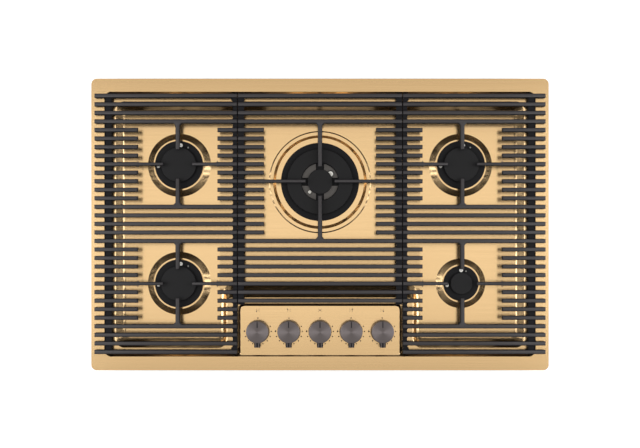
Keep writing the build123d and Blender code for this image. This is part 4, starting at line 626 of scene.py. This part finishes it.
# One corner of a slot's round end, a square post less a round one. It is a metre tall, so that a copy
# set in an inside corner is stretched to that corner's height, and it sinks a little into both walls.
bpy.ops.mesh.primitive_cube_add(size=1, location=(0.5, 0.5, 0.5))
corner = bpy.context.object
corner.name = "slot_corner"
corner.scale = (SLOT_ROUND + SINK, SLOT_ROUND + SINK, 1)
corner.location = ((SLOT_ROUND - SINK) / 2, (SLOT_ROUND - SINK) / 2, 0.5)
bpy.ops.mesh.primitive_cylinder_add(
    vertices=SLOT_SIDES, radius=SLOT_ROUND, depth=2, location=(SLOT_ROUND, SLOT_ROUND, 0.5)
)
cutter = bpy.context.object
cut = corner.modifiers.new("round", "BOOLEAN")
cut.operation = "DIFFERENCE"
cut.object = cutter
bpy.ops.object.select_all(action="DESELECT")
corner.select_set(True)
bpy.context.view_layer.objects.active = corner
bpy.ops.object.transform_apply()
bpy.ops.object.modifier_apply(modifier="round")
bpy.data.objects.remove(cutter)
corner.data.materials.clear()
corner.data.materials.append(iron)
corner.select_set(False)


def inside_corners(mesh):
    """Foot, height and the two wall normals of every upright inside corner between a bar and a rail."""
    spots = []
    for edge in mesh.edges:
        foot, head = sorted((vertex.co.copy() for vertex in edge.verts), key=lambda spot: spot.z)
        upright = (head - foot).normalized().z > UPRIGHT and head.z - foot.z > SHORTEST_CORNER
        if upright and not edge.is_convex and edge.calc_face_angle() > RIGHT_ANGLE:
            first, second = (face.normal.copy() for face in edge.link_faces)
            if first.cross(second).z < 0:
                first, second = second, first
            spots.append((foot, head.z - foot.z, first, second))
    return spots


def select_edges(piece, wanted):
    """In edit mode, selects the edges between two faces that pass a test."""
    mesh = bmesh.from_edit_mesh(piece.data)
    bpy.ops.mesh.select_all(action="DESELECT")
    for edge in mesh.edges:
        if len(edge.link_faces) == 2 and wanted(edge):
            edge.select_set(True)
    bmesh.update_edit_mesh(piece.data)


for side in ("left", "centre", "right"):
    casting = nodes[f"grate_{side}"]
    piece = bpy.data.objects.new(f"grate_{side}_rounded", casting.data.copy())
    bpy.context.scene.collection.objects.link(piece)
    bpy.context.view_layer.objects.active = piece
    piece.select_set(True)
    top = max(vertex.co.z for vertex in piece.data.vertices)
    bpy.ops.object.mode_set(mode="EDIT")
    bpy.ops.mesh.select_mode(type="EDGE")
    bpy.ops.mesh.select_all(action="SELECT")
    bpy.ops.mesh.remove_doubles(threshold=WELD)
    bpy.ops.mesh.dissolve_limited(angle_limit=FLAT_ANGLE)
    spots = inside_corners(bmesh.from_edit_mesh(piece.data))
    select_edges(
        piece,
        lambda edge: edge.is_convex
        and edge.calc_face_angle() > SHARP_ANGLE
        and all(vertex.co.z > top - LEVEL_SLACK for vertex in edge.verts),
    )
    bpy.ops.mesh.bevel(offset=EDGE_ROUND, segments=EDGE_STEPS, affect="EDGES", clamp_overlap=False)
    bpy.ops.object.mode_set(mode="OBJECT")
    for foot, tall, first, second in spots:
        post = bpy.data.objects.new("slot_end", corner.data.copy())
        bpy.context.scene.collection.objects.link(post)
        post.matrix_world = Matrix(
            (
                (first.x, second.x, 0, foot.x),
                (first.y, second.y, 0, foot.y),
                (0, 0, tall, foot.z),
                (0, 0, 0, 1),
            )
        )
        post.select_set(True)
    bpy.ops.object.join()
    bpy.ops.object.shade_smooth_by_angle(angle=SMOOTH_ANGLE)
    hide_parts(f"grate_{side}")
    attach(piece, f"grate_{side}")
    piece.select_set(False)

bpy.data.objects.remove(corner)

# --- Grate feet ---
# Small pads moulded in silicone rubber, pegged into the undersides of the grates to keep the iron
# off the steel. Grey-black and matt, with the same moulded grain.
rubber, tree, place = start_material("silicone_rubber")
grain = add_node(tree, "ShaderNodeTexNoise", {"Vector": place, "Scale": 1 / MOULD_GRAIN, "Detail": 2.0})
rough = add_node(tree, "ShaderNodeMapRange", {"Value": grain, "To Min": 0.7, "To Max": 0.85})
relief = add_node(tree, "ShaderNodeBump", {"Height": grain, "Distance": 0.03 * MM})
end_material(tree, {"Base Color": linear("#232323"), "Roughness": rough, "Normal": relief})
finish_nodes(rubber, "rubber_feet")

# --- Printed marks ---
# Black ink screen-printed on the panel and baked: round each knob a mark for off, a flame for full
# and a row of dots, and behind it a plan of the five burners with its own one bold. The dots are
# drawn larger than the real ones, to show.
INK_THICKNESS = 0.05 * MM
DOT_RADIUS = 1.25 * MM
DOT_SIDES = 10
DOT_RING = 26.3 * MM
DOT_ANGLES = (22.5, 0, -22.5, -45, -67.5, -112.5, -135, -157.5)
FLAME_SIZE = 1.5 * MM
PLAN_BEHIND = 41.7 * MM
PLAN_STEP = (2.6 * MM, 1.9 * MM)
PLAN_DOT = 0.65 * MM
PLAN_BOLD = 1.3 * MM
PANEL_GAP = 4 * MM
PLAN = dict(zip(CONTROLS, ((-1, -1), (-1, 1), (0, 0), (1, 1), (1, -1)), strict=True))

ink, tree, place = start_material("fired_black_ink")
grain = add_node(tree, "ShaderNodeTexNoise", {"Vector": place, "Scale": 1 / MOULD_GRAIN, "Detail": 2.0})
rough = add_node(tree, "ShaderNodeMapRange", {"Value": grain, "To Min": 0.5, "To Max": 0.65})
relief = add_node(tree, "ShaderNodeBump", {"Height": grain, "Distance": 0.005 * MM})
end_material(tree, {"Base Color": linear("#2A211B"), "Roughness": rough, "Normal": relief})


def print_dot(x, y, z, radius, drawn_out=0.0):
    """A dot of ink at a spot on the panel, drawn out to the back where it is a flame."""
    bpy.ops.mesh.primitive_cylinder_add(
        vertices=DOT_SIDES, radius=radius, depth=INK_THICKNESS, location=(x, y, z + INK_THICKNESS / 2)
    )
    dot = bpy.context.object
    bpy.ops.object.transform_apply()
    far = max(vertex.co.y for vertex in dot.data.vertices)
    for vertex in dot.data.vertices:
        if vertex.co.y > far - WELD:
            vertex.co.y += drawn_out
    return dot


dots = []
for control, own_place in PLAN.items():
    low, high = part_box(f"knob_{control}")
    x, y, z = (low[0] + high[0]) / 2, KNOB_Y, low[2] - PANEL_GAP
    for angle in DOT_ANGLES:
        along, aside = cos(radians(angle)), sin(radians(angle))
        dots.append(print_dot(x + DOT_RING * along, y + DOT_RING * aside, z, DOT_RADIUS))
    dots.append(print_dot(x, y + DOT_RING, z, DOT_RADIUS, FLAME_SIZE / 2))
    dots.append(print_dot(x - DOT_RING, y, z, FLAME_SIZE, FLAME_SIZE))
    for spot in PLAN.values():
        radius = PLAN_BOLD if spot == own_place else PLAN_DOT
        across, back = spot[0] * PLAN_STEP[0], spot[1] * PLAN_STEP[1]
        dots.append(print_dot(x + across, y + PLAN_BEHIND + back, z, radius))
bpy.ops.object.select_all(action="DESELECT")
for dot in dots:
    dot.select_set(True)
marks = dots[0]
bpy.context.view_layer.objects.active = marks
bpy.ops.object.join()
marks.name = "printed_marks"
marks.data.materials.append(ink)
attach(marks, "hob")
marks.select_set(False)

low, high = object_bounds()
